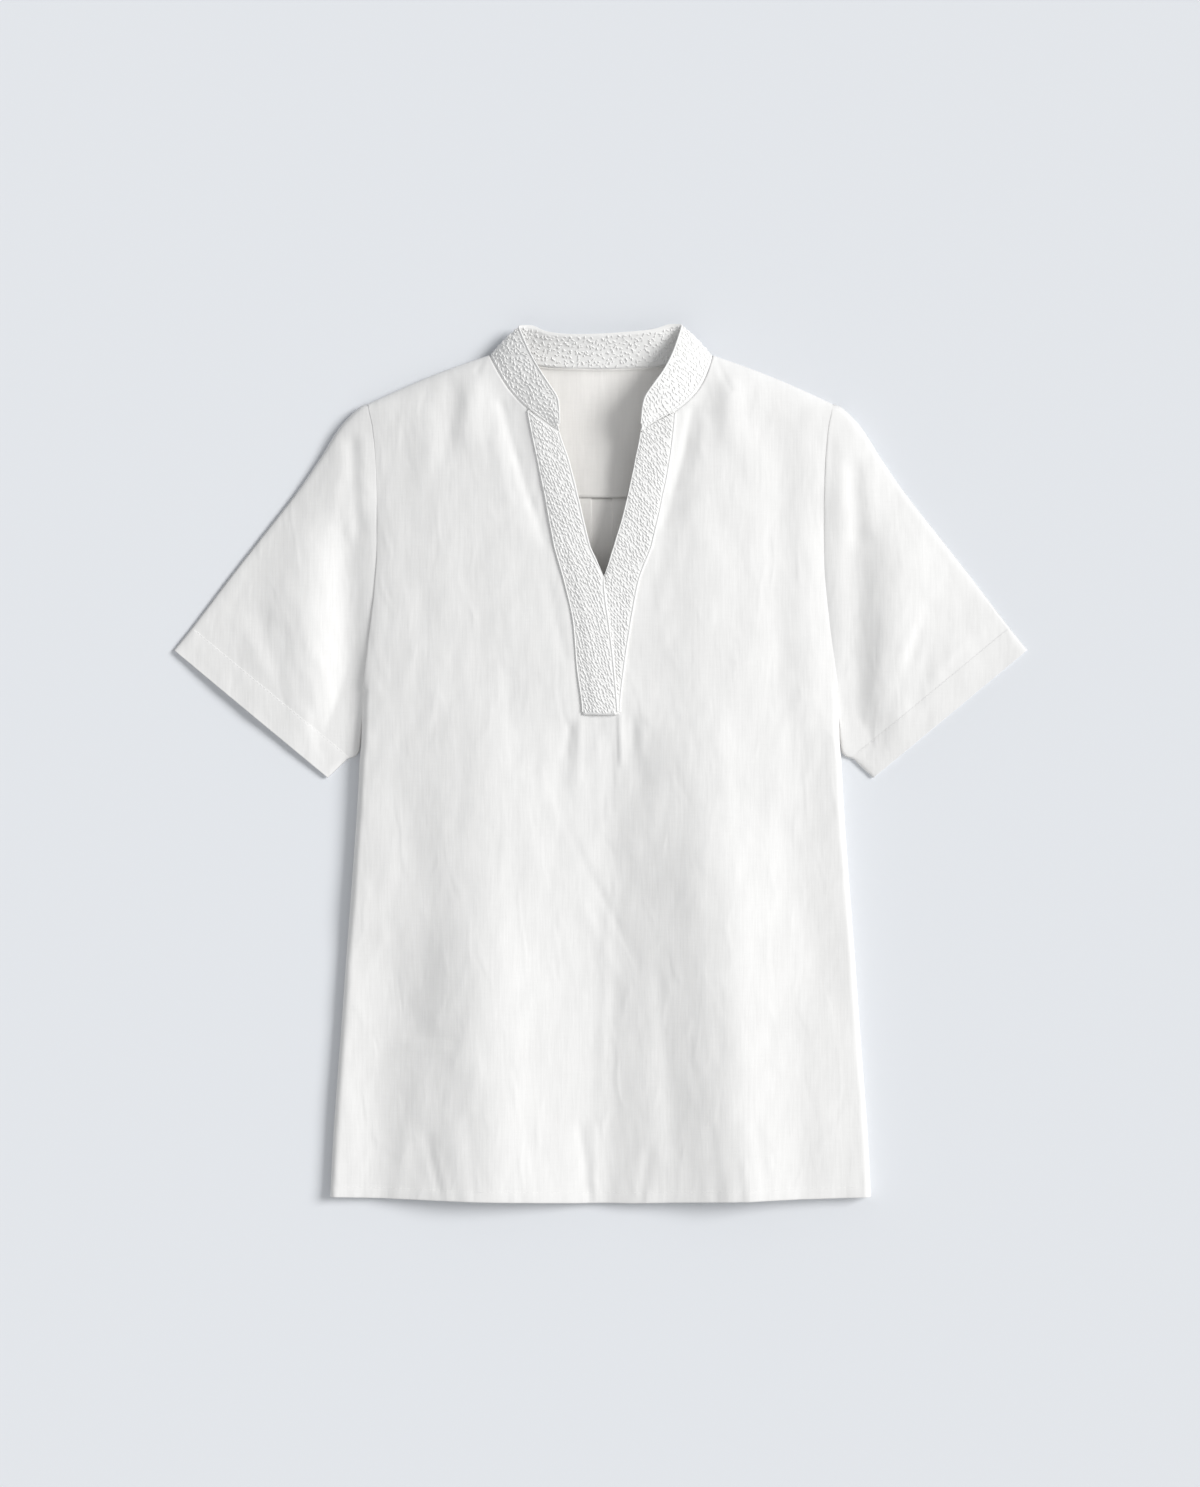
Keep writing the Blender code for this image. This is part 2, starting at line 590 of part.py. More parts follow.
def make_band(side, name, material, group):
    """Placket band made from the points of the front, moved out."""
    low = {s: front_rows(s)[0] for s in (-1, 1)}
    rows = []
    over = side < 0
    shares = [k / (BAND_SECTIONS - 1) for k in range(BAND_SECTIONS)]
    for index, row in enumerate(BODY_ROWS + ARMHOLE_ROWS):
        if row.inner < BAND_BOTTOM_Y:
            continue
        line = low[side][index][:len(BAND_COLUMNS)]
        outer_x, edge = line[-1].x, line[0].x
        if row.inner <= V_EDGES[0].y:
            line += low[-side][index][1:len(BAND_COLUMNS)]
            edge = at_y(OVERLAPS, row.inner, "right" if over else "left")
        crossing = smooth_step((CROSS_TOP - row.inner) / (CROSS_TOP - CROSS_FULL)) if over else 0.0
        points = []
        for share in shares:
            base = on_row(line, lerp(outer_x, edge, share))
            raised = crossing * smooth_step((share - CROSS_START) / CROSS_WIDTH)
            height = (REST_GAP + BAND) * (1.0 + raised)
            points.append(base + front_normal(base.x, base.y) * height)
        rows.append(points)
    mesh = bmesh.new()
    add_grid(mesh, rows, flip=side > 0)
    return finish_sheet(name, mesh, BAND, material, group)


def stand_stations():
    """Neck seam and free edge of the stand, from one front end to the other."""
    seams, frees = [], []
    columns = [share * NECK_SHARE for share in BAND_COLUMNS]
    places = columns + [row.inner for row in NECK_ROWS[:-1]]
    rises = [1.0] * len(columns) + [row.rise for row in NECK_ROWS[:-1]]
    last = len(BACK_NECK) - 1
    back_places = [k / STAND_SMOOTH for k in range(last * STAND_SMOOTH + 1)]
    for side in (-1, 1):
        name = side_name(side)
        seam, free = [], []
        for place, rise in zip(places, rises):
            x, y = neck_point(side, place)
            row = Row(place, y, 0.0, rise)
            seam.append(front_point(x, y, row))
            free.append(Vector([along(FRONT_FREE_EDGE, place, name + "_x"),
                                along(FRONT_FREE_EDGE, place, name + "_y"),
                                along(FRONT_FREE_EDGE, place, "z")]))
        for place in back_places if side < 0 else back_places[:-1]:
            seam.append(back_neck_point(side, place))
            free.append(Vector([along(BACK_FREE_EDGE, place, name + "_x"),
                                along(BACK_FREE_EDGE, place, name + "_y"),
                                along(BACK_FREE_EDGE, place, "z")]))
        seams += seam if side < 0 else seam[::-1]
        frees += free if side < 0 else free[::-1]
    return seams, frees


def make_stand(material, group):
    """Collar stand, turned over at each shoulder, its front ends rounded."""
    seams, frees = stand_stations()
    rows = []
    for seam, free in zip(seams, frees):
        lean = free - seam
        start = seam + lean.normalized() * STAND_GAP
        rows.append([start.lerp(free, k / STAND_STEPS) for k in range(STAND_STEPS + 1)])
    mesh = bmesh.new()
    add_grid(mesh, rows)
    return finish_sheet("collar", mesh, STAND, material, group)


def main():
    clear_scene()
    group = make_collection("mandarin_collar_top")
    make_front(make_material("front linen", LINEN, 0.85), group)
    make_back(make_material("back linen", LINEN, 0.85), group)
    make_yoke(make_material("yoke linen", LINEN, 0.85), group)
    for side, name in ((-1, "sleeve_left"), (1, "sleeve_right")):
        make_sleeve(side, name, make_material(name + " linen", LINEN, 0.85), group)
    for side, name in ((-1, "placket_left"), (1, "placket_right")):
        make_band(side, name, make_material(name + " thread", THREAD, 0.80), group)
    make_stand(make_material("collar thread", THREAD, 0.80), group)


main()
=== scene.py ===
"""Looks of the mandarin collar top: white linen laid flat on a pale surface.

Sizes are in metres, but for the tables of folds, and in the frame of the
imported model. The panels repeat the sizes of the solids, with finer folds,
hems, stitches and embroidery.
"""
import json
from collections import namedtuple
from math import inf, pi, radians

import bmesh
import bpy
import numpy as np
from mathutils import Vector
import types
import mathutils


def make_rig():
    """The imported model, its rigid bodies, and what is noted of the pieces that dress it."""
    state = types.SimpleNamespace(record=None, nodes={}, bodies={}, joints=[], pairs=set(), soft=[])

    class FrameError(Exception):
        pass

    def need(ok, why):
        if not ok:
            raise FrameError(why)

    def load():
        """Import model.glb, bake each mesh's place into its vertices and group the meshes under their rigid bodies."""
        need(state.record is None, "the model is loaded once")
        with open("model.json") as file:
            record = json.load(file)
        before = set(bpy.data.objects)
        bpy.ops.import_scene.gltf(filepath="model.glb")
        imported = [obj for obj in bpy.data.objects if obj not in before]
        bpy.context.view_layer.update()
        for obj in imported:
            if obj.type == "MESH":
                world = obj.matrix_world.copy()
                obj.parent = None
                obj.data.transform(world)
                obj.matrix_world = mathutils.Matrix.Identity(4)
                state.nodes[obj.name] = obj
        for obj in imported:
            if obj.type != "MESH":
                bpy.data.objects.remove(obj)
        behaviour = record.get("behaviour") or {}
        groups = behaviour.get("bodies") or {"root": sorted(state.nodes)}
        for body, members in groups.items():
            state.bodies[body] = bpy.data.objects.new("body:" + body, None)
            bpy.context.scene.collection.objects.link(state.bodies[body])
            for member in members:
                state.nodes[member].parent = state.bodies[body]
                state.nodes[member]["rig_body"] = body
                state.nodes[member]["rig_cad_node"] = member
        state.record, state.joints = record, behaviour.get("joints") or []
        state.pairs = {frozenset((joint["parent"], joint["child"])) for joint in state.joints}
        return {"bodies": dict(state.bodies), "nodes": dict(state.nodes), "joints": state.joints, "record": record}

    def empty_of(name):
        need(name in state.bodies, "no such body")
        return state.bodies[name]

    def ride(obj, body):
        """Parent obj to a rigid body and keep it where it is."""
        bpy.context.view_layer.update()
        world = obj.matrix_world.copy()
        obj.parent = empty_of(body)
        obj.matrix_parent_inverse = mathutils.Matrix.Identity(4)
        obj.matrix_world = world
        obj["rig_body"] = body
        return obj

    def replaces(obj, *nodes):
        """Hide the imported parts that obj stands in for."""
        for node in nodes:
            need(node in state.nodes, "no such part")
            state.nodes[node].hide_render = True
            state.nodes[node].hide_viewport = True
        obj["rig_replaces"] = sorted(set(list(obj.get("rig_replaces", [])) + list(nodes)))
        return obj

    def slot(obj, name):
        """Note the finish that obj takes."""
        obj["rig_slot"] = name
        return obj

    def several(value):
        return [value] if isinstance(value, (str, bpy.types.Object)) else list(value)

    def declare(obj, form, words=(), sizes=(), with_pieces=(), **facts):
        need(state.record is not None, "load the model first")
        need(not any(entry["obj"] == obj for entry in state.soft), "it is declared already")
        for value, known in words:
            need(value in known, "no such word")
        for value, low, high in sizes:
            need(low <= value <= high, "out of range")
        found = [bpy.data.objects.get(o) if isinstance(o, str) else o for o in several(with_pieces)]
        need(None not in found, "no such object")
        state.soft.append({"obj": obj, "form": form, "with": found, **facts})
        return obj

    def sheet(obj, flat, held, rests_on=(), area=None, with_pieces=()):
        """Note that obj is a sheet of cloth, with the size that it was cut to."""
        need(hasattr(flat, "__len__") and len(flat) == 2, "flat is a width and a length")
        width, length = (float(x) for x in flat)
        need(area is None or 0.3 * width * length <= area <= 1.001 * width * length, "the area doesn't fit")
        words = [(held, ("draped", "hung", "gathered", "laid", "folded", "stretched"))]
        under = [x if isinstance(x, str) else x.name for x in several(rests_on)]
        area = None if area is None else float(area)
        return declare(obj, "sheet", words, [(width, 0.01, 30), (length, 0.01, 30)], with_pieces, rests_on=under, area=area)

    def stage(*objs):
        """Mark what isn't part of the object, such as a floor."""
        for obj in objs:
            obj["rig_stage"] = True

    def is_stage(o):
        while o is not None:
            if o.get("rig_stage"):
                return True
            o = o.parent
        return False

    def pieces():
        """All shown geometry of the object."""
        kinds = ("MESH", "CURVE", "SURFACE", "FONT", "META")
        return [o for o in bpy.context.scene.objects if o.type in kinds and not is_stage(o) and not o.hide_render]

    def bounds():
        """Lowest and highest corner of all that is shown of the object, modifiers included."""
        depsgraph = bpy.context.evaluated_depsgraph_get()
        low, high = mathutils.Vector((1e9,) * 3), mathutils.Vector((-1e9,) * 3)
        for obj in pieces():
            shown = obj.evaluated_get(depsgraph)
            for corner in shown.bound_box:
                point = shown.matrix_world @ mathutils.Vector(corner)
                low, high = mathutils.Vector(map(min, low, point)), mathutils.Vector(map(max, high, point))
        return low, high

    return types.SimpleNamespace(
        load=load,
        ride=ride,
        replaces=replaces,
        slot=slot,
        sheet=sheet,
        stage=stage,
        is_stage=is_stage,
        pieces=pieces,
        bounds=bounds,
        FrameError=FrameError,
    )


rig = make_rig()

# Cloth and seams
LINEN_WALL = 0.0008
BAND_WALL = 0.0010
BAND_LIFT = 0.0012      # how far a band's face stands off the front
BAND_EDGE_DROP = 0.0005     # how far its edges are rounded down
BAND_EDGE_SHARE = 0.03      # and over what share of its width
BAND_GRAIN = (0.3, 0.03)    # length and width of a band's weave
STAND_BULGE = 0.0012
WELD = 0.00002          # points of the front's parts this close are joined
SEAM_Z = 0.0056
SEAM_DROP = 0.0010
SIDE_ROLL = 0.0060
UNDER_ROLL = 0.0070
ARMHOLE_GAP = -0.0015   # a sleeve head runs in under the edge of the body
ARMHOLE_SINK = {-1: 0.0006, 1: 0.0024}   # and lies this much lower there, by side

# Body outline
CENTRE_X = 0.0027
HEM_Y = -0.3652
ARMPIT_Y = 0.0600
YOKE_SEAM_Y = 0.2220
BAND_BOTTOM_Y = 0.0404
SHOULDER_Y = 0.2990
SHOULDER_BOW = 0.0020
LOFT_POWER = 2.4
BAND_RAKE = 0.25        # a band's outer edge lies higher, by this share of the V's width

# Half width of the body, and the front's height at its middle and inside its edges
Width = namedtuple("Width", "y half")
SIDES = [Width(*row) for row in (
    (-0.366, 0.225), (-0.18, 0.2128), (0.003, 0.2004), (0.06, 0.1975), (0.103, 0.1927), (0.136, 0.1885),
    (0.175, 0.1855), (0.216, 0.1852), (0.254, 0.1865), (0.28, 0.189), (0.299, 0.1929),
)]
Loft = namedtuple("Loft", "y middle edge")
LOFTS = [Loft(*row) for row in (
    (-0.366, 0.014, 0.011), (-0.2, 0.0185, 0.012), (0.0, 0.0225, 0.013), (0.15, 0.026, 0.0135),
    (0.27, 0.0275, 0.014), (0.34, 0.0255, 0.014),
)]

# Edges of the V, outer edges of the bands, and their inner edges where they overlap
Slit = namedtuple("Slit", "y left right")
V_EDGES = [Slit(*row) for row in (
    (0.1529, CENTRE_X, CENTRE_X), (0.165, -0.0025, 0.0068), (0.179, -0.009, 0.0112),
    (0.201, -0.0144, 0.0178), (0.222, -0.0194, 0.0231), (0.252, -0.0269, 0.0292),
    (0.274, -0.0344, 0.0334),
)]
BAND_EDGES = [Slit(*row) for row in (
    (-0.366, -0.02, 0.023), (0.0404, -0.0148, 0.0158), (0.08, -0.0194, 0.0194), (0.12, -0.0228, 0.0254),
    (0.1529, -0.0304, 0.0318), (0.179, -0.038, 0.042), (0.222, -0.0457, 0.0515), (0.252, -0.052, 0.0573),
    (0.278, -0.0577, 0.061), (0.291, -0.0602, 0.0615),
)]
OVERLAPS = [Slit(*row) for row in (
    (0.0404, 0.0, 0.014), (0.0638, 0.001, 0.0123), (0.0904, 0.0015, 0.0098), (0.1179, 0.002, 0.0065),
    (0.1404, 0.0024, 0.0034), (0.1529, CENTRE_X, CENTRE_X),
)]
CROSS_TOP = 0.1900      # from here down the left band rises over the right one
CROSS_FULL = 0.1609     # and from here down it lies wholly on it
CROSS_START = 0.10      # where it starts to rise and over what share of its width
CROSS_WIDTH = 0.30

# Neck seam from the top of the V to the shoulders and round the back, and the
# free edge of the stand over it
Neck = namedtuple("Neck", "left_x left_y right_x right_y")
NECK = [Neck(*row) for row in (
    (-0.0344, 0.274, 0.0334, 0.274), (-0.0469, 0.2829, 0.046, 0.2822), (-0.0602, 0.2929, 0.0615, 0.2906),
    (-0.0735, 0.3063, 0.077, 0.3042), (-0.0835, 0.3213, 0.0868, 0.3195),
    (-0.0927, 0.3396, 0.0937, 0.3394),
)]
Free = namedtuple("Free", "left_x left_y right_x right_y z")
FRONT_FREE_EDGE = [Free(*row) for row in (
    (-0.0338, 0.28, 0.0335, 0.28, 0.03), (-0.035, 0.3, 0.036, 0.3, 0.0325),
    (-0.043, 0.3135, 0.044, 0.313, 0.0325), (-0.051, 0.326, 0.0525, 0.325, 0.03),
    (-0.0595, 0.342, 0.0605, 0.341, 0.024), (-0.0683, 0.3629, 0.068, 0.364, 0.013),
)]
BACK_NECK = [Neck(*row) for row in (
    (-0.0927, 0.3396, 0.0937, 0.3394), (-0.072, 0.3352, 0.072, 0.3352), (-0.048, 0.3304, 0.048, 0.3304),
    (-0.024, 0.3288, 0.024, 0.3288), (0.0, 0.3283, 0.0, 0.3283),
)]
BACK_FREE_EDGE = [Free(*row) for row in (
    (-0.0683, 0.3629, 0.068, 0.364, 0.013), (-0.0575, 0.3635, 0.058, 0.3645, 0.011),
    (-0.044, 0.3578, 0.044, 0.36, 0.0125), (-0.022, 0.3556, 0.022, 0.3575, 0.014),
    (0.0, 0.356, 0.0, 0.356, 0.0145),
)]
BACK_NECK_Z = 0.0030

# A fade is 1 up to its width before its end, and 0 from its end on
Fade = namedtuple("Fade", "end width")

# Sleeve from the armhole to the cuff: its folded edges in plan, the heights of its
# middle and its edges, and how far it still follows the armhole
Section = namedtuple("Section", "top_x top_y under_x under_y loft edge lean")
SLEEVE = [Section(*row) for row in (
    (0.1933, 0.299, 0.1979, 0.06, 0.014, 0.01, 1.0),
    (0.201, 0.2968, 0.1975, 0.051, 0.0148, 0.0088, 0.62),
    (0.2168, 0.2805, 0.1978, 0.041, 0.0156, 0.0072, 0.28),
    (0.2333, 0.2545, 0.1985, 0.031, 0.016, 0.0058, 0.1),
    (0.253, 0.2258, 0.1992, 0.022, 0.0158, 0.0048, 0.03),
    (0.278, 0.1938, 0.2, 0.0145, 0.0146, 0.0042, 0.0),
    (0.305, 0.1595, 0.2012, 0.009, 0.012, 0.0038, 0.0),
    (0.329, 0.128, 0.2048, 0.0056, 0.0094, 0.0034, 0.0),
    (0.3395, 0.1142, 0.2078, 0.0046, 0.008, 0.0032, 0.0),
    (0.3412, 0.112, 0.2106, 0.0034, 0.0076, 0.0032, 0.0),
    (0.3554, 0.0946, 0.227, -0.012, 0.0056, 0.003, 0.0),
)]
SLEEVE_ROLL = 0.0065
EDGE_SEAM = 0.62        # height of a folded edge's middle, as a share of its own
LEAST_CROWN = 0.0012    # least height of a sleeve's upper layer over that middle
CROWDING = 0.35         # how much a sleeve's points crowd at its folded edges
SINK_REACH = 0.22       # sections over which a sleeve head's sinking fades out
SINK_LEAST = 0.2        # share of it at the armpit
SINK_FADE = Fade(0.60, 0.2)
CUFF_PLACE = 8.5        # section of the cuff's stitch line
CUFF_RAMP = 1.4         # sections over which the doubled cuff steps up
CUFF_GROOVE = 0.00012
CUFF_GROOVE_WIDTH = 0.45
CUFF_LINE_INSET = 3     # points between a folded edge and the first stitch

# Back and yoke
Wave = namedtuple("Wave", "height across along seed")
PLEAT_IN = 0.0086       # from the centre line to the pleat's folded edges
PLEAT_OUT = 0.0250      # and to the outer edges of its layers
PLEAT_STEP = 0.0001     # half the width of the step at a folded edge
PLEAT_WALL = 0.0018     # thickness of its layers together
PLEAT_SHIFT = 0.0011    # how far the box pleat lies off the centre line
PLEAT_SHIFT_FADE = Fade(0.06, 0.03)
BACK_HALF = 0.2         # half width of which the pleat's columns are shares
BACK_EDGE_SHARE = 0.97
BACK_BOW_REACH = 0.01   # height over which the hem's bow fades out on the back
BACK_WAVE = Wave(0.0006, 0.05, 0.09, 5)
BACK_WAVE_START = 0.03
BACK_WAVE_RISE = 0.05
BACK_WAVE_EDGE = 0.03
YOKE_TURN = 0.0010      # how far the yoke's lower edge lies over the back
YOKE_WAVE = Wave(0.0005, 0.02, 0.08, 7)
YOKE_WAVE_FADE = Fade(0.16, 0.05)
YOKE_CREASE = 0.0002    # height and width of the crease down its middle
YOKE_CREASE_WIDTH = 0.002
YOKE_OVER = 0.0013      # how far it rises over the pleat's layers
YOKE_OVER_SIDE = Fade(0.045, 0.015)
YOKE_OVER_TOP = Fade(0.020, 0.018)
YOKE_LIP = 0.0005       # and how much more at its turned lower edge
YOKE_LIP_TOP = Fade(0.003, 0.004)

# Rows of the front, from the hem to the top of the V, then up the neck: the
# heights of their ends (on the neck the inner end is a row of its table), how
# far the side edge rolls down and what share of its height the cloth keeps
Row = namedtuple("Row", "inner outer roll rise", defaults=(1.0, 1.0))
LOW_ROWS = [Row(*row) for row in (
    (HEM_Y, -0.3602), (-0.3575, -0.353), (-0.355, -0.3505), (-0.326, -0.323), (-0.288, -0.286),
    (-0.247, -0.246), (-0.205, -0.205), (-0.163, -0.165), (-0.122, -0.126), (-0.083, -0.089),
    (-0.048, -0.055), (-0.018, -0.023), (0.012, 0.005), (BAND_BOTTOM_Y, 0.03), (0.06, 0.048),
    (0.08, ARMPIT_Y), (0.088, 0.0613, 0.6), (0.097, 0.0645, 0.34), (0.11, 0.0705, 0.2),
    (0.13, 0.09, 0.12), (0.1529, 0.12, 0.08), (0.175, 0.154, 0.05), (0.198, 0.189, 0.02),
    (0.222, YOKE_SEAM_Y, 0.0), (0.248, 0.248, 0.0), (0.274, 0.268, 0.0),
)]
NECK_ROWS = [Row(*row) for row in (
    (2.0, 0.268, 0.0), (2.6, 0.28, 0.0), (3.3, 0.2885, 0.0, 0.94), (4.0, 0.2942, 0.0, 0.8),
    (4.5, 0.2974, 0.0, 0.56), (4.88, 0.29875, 0.0, 0.25), (5.0, SHOULDER_Y, 0.0, 0.0),
)]
NECK_SHARE = 2.0        # row of the neck where the bands' outer edges meet it
BAND_ROW, ARMPIT_ROW, YOKE_ROW = 13, 15, 23     # low rows at these places

# Points of the pieces' grids, in even stretches of rows, sections or shares:
# the start, the end and the number of points of each
FRONT_GRID = [(0, 1, 8), (1, 2, 6), (2, len(LOW_ROWS) - 1, 204)]
BACK_GRID = [(0, 1, 5), (1, YOKE_ROW, 120)]
YOKE_GRID = [(0, 0.9, 34), (0.9, 1, 12)]
SLEEVE_GRID = [(0, 7.8, 84), (7.8, 9.2, 14), (9.2, len(SLEEVE) - 1, 18)]
PLEAT_GRID = [(0, PLEAT_IN - 0.0006, 5), (PLEAT_IN + 0.0008, PLEAT_OUT, 7)]
FRONT_BAND_POINTS, FRONT_SIDE_POINTS, FRONT_NECK_POINTS = 11, 68, 34
FRONT_REACH = 0.165     # usual distance from a band to the side seam
ROLL_POINTS = 9
BACK_POINTS, BACK_EDGE_POINTS = 40, 10
SHOULDER_POINTS, BACK_NECK_POINTS = 34, 36
SLEEVE_POINTS, UNDER_STEP = 74, 3       # a sleeve's under layer has every third point
STAND_FRONT_POINTS, STAND_BACK_POINTS, STAND_ACROSS, STAND_EASING = 90, 50, 15, 8
BAND_LENGTH_POINTS, BAND_PLAN_POINTS, BAND_ACROSS = 120, 15, 21

# Folds: a soft ridge or trough along a line, half its width, its height; the
# tables give them in millimetres
MM = 1000.0             # millimetres in a metre
Fold = namedtuple("Fold", "x0 y0 x1 y1 width rise")
FRONT_FOLDS = [Fold(*(size / MM for size in row)) for row in (
    (-104.5, 40, -104.5, -380, 40, 3.4), (79, 50, 123, -380, 40, 4.5), (-35, -10, -19, -380, 28, -2),
    (-159, -20, -170, -240, 24, -1.6), (164.5, 40, 180, -200, 20, -2.2), (148, 290, 148, 40, 14, -2),
    (85, 230, 83, 70, 22, 1.8), (-80, 308, -42, 185, 12, -2.2), (-105, 320, -112, 265, 10, 2),
    (90, 318, 56, 200, 12, -2.2), (108, 320, 112, 260, 10, 1.8), (-27, 32, -35, -30, 10, -1.4),
    (26, 35, 35, -25, 10, -1.2), (-193, 205, -200, 30, 10, -1), (193, 205, 200, 30, 15, -2.4),
    (8, 10, 6, -420, 28, -4.2), (94, -60, 118, -420, 36, 5.6), (-98, -140, -93, -440, 42, 5),
    (-178, -140, -190, -420, 30, -4),
)]
SLEEVE_FOLDS = [Fold(*(size / MM for size in row)) for row in (
    (199, 270, 198.5, 210, 8, 1.6), (256, 190, 248, 35, 24, 1.8), (285, 130, 256, 48, 10, -1),
    (266, 115, 244, 45, 6, -0.6), (303, 123, 275, 70, 7, 0.5), (233, 90, 218, 20, 5, 0.5),
    (245, 70, 233, 10, 4, -0.4),
)]
LEFT_SLEEVE_FOLDS = [Fold(*(size / MM for size in row)) for row in (
    (205, 270, 201, 190, 7, -3.4), (208, 195, 213, 15, 19, -8.4), (211, 235, 216, 190, 6, -1.4),
)]
RIGHT_SLEEVE_FOLDS = [Fold(*(size / MM for size in row)) for row in (
    (210, 250, 212.5, 185, 8, -3), (213, 195, 215, 15, 16, -5.2), (272, 135, 258, 85, 5, -0.8),
    (305, 105, 285, 80, 5, 0.7),
)]
BACK_FOLDS = [Fold(0.002, 0.26, 0.002, 0.14, 0.042, 0.006)]    # the back puffs up under the V
FADE_SHARE = 2.2        # a fold fades out over this many of its widths
FADE_MOST = 0.7         # but over no more than this share of its length

# Folded hem: its depth, the step and the groove at its stitches and its puckers
HEM_DEPTH = 0.0088
HEM_LIFT = 0.0004
HEM_RAMP = 0.0040
HEM_GROOVE = 0.00008
HEM_GROOVE_WIDTH = 0.0014
HEM_EDGE = 0.0004       # how far the folded edge is rounded down
HEM_EDGE_WIDTH = 0.0009
HEM_LINE_INSET = 0.01   # from a side seam to the hem's first stitch
HEM_LINE_POINTS = 500
PUCKER_REACH = 0.014
Pucker = namedtuple("Pucker", "height length seed")
PUCKERS = [Pucker(0.00030, 0.0055, 9), Pucker(0.00035, 0.0140, 12)]

# Unevenness of pressed linen: height, size across and along the grain, and the
# distance along the grain over which a ripple shifts by its own size across
Ripple = namedtuple("Ripple", "height across along shift seed")
RIPPLES = [
    Ripple(0.00060, 0.045, 0.100, inf, 0), Ripple(0.00044, 0.021, 0.040, 0.150, 1),
    Ripple(0.00019, 0.009, 0.018, -0.035, 2), Ripple(0.00009, 0.004, 0.012, 0.030, 4),
]
FRONT_SEED = 3
SLEEVE_SEED = 20

# Finer creases that only the cloth of the scene has
FRONT_CREASES = [Fold(*(size / MM for size in row)) for row in (
    (-97, 337, -103, 323, 2.2, -0.9), (95, 337, 108, 308, 2.4, -0.9), (-25.5, 33, -28.5, 6, 2.6, -1),
    (-17, 37, -19, -15, 3, 0.8), (15.8, 42, 17.5, 0, 2, 1.3), (26.2, 39, 27.5, 12, 2.6, -0.7),
    (34, 30, 35, 5, 4, 0.6), (-2, 20, -1, -60, 4, 0.4), (9, 20, 10, -40, 3.2, -0.3),
    (-37, -30, -19, -72, 2.6, -0.3), (-20, -68, 1, -110, 3, -0.4), (-1, -105, 33, -170, 3, -0.4),
    (-16, -115, 19, -185, 4, 0.3), (-163, -226, -117, -229, 3, -0.7), (-160, -234, -123, -237, 3, 0.6),
    (2, -70, 0, -420, 22, -1.2), (6, -120, -1, -340, 5, 0.5), (48, -170, 60, -330, 7, -0.7),
    (88, -90, 99, -240, 9, -0.7), (-56, -200, -60, -350, 8, -0.5), (-140, -100, -148, -230, 11, -0.7),
    (163, -220, 170, -360, 12, -1), (150, -40, 156, -130, 8, -0.6), (-115, 30, -118, -60, 8, -0.5),
    (-83, 300, -69, 250, 4, -0.9), (-70, 256, -57, 212, 3.6, -0.8), (-58, 218, -45, 180, 3.2, -0.6),
    (-88, 270, -74, 215, 5, 0.5), (76, 295, 69, 260, 3.4, -1.1), (71, 266, 60, 225, 3.4, -0.9),
    (62, 230, 51, 195, 3.6, -0.6), (86, 285, 74, 230, 5, 0.8), (107, 320, 100, 265, 6, 0.8),
    (-119, 310, -128, 250, 8, -0.8), (-140, 290, -148, 230, 9, 0.6), (-44, 150, -29, 85, 5, -0.5),
    (51, 190, 40, 120, 6, -0.5), (-133, 150, -135, 50, 10, 0.5), (-76, 80, -72, 0, 7, -0.4),
    (98, 30, 106, -50, 8, 0.6), (-110, -290, -104, -360, 5, -0.6), (-18, -300, -8, -364, 3.6, -0.8),
    (-6, -300, -4, -365, 3, 0.6), (90, -300, 98, -364, 5, -0.6), (-144, -308, -133, -356, 4, -0.8),
    (-136, -320, -126, -364, 3, 0.6), (-160, -300, -170, -364, 7, 0.6), (40, -320, 33, -365, 3, -0.7),
    (128, -296, 140, -364, 6, -0.7), (118, -330, 123, -365, 2.6, 0.6), (-62, -324, -56, -365, 3.2, 0.5),
)]

# Embroidery: how far the stitches turn either way and stray, in steps of the
# band's points, where each row starts, the distances between stitches and
# between rows, and the size of a stitch
Pattern = namedtuple("Pattern", "turn stray shift step row length width")
PATTERNS = {
    "placket_l": Pattern(16.0, 0.9, 0.77, 0.0031, 0.0025, 0.0040, 0.0014),
    "placket_r": Pattern(16.0, 0.9, 0.23, 0.0031, 0.0025, 0.0040, 0.0014),
    "collar": Pattern(34.0, 1.5, 0.50, 0.0033, 0.0029, 0.0036, 0.0014),
    "collar_inside": Pattern(75.0, 1.8, 0.37, 0.0035, 0.0031, 0.0028, 0.0014),
}
CORDS = {
    "placket_l_outer_edge": 0.0006, "placket_l_inner_edge": 0.0009,
    "placket_r_outer_edge": 0.0009, "placket_r_inner_edge": 0.0006,
    "stand_edge": 0.0007, "stand_seam": 0.0006,
}
CORD_SIDES = 8
CORD_THINNING = 0.7     # share of its radius that an inner cord loses at the V's point
THINNEST_Y = V_EDGES[0].y + 0.005
THINNING_REACH = 0.006
STITCH_INSET = 0.0016
STITCH_MARGIN = 0.07    # share of a band's width that stays clear at each edge
STITCH_HEIGHT = 0.00075
LENGTH_SPREAD, WIDTH_SPREAD, HEIGHT_SPREAD = 0.5, 0.3, 0.6
SLANT = np.array((0.52, -0.85, 0.0))

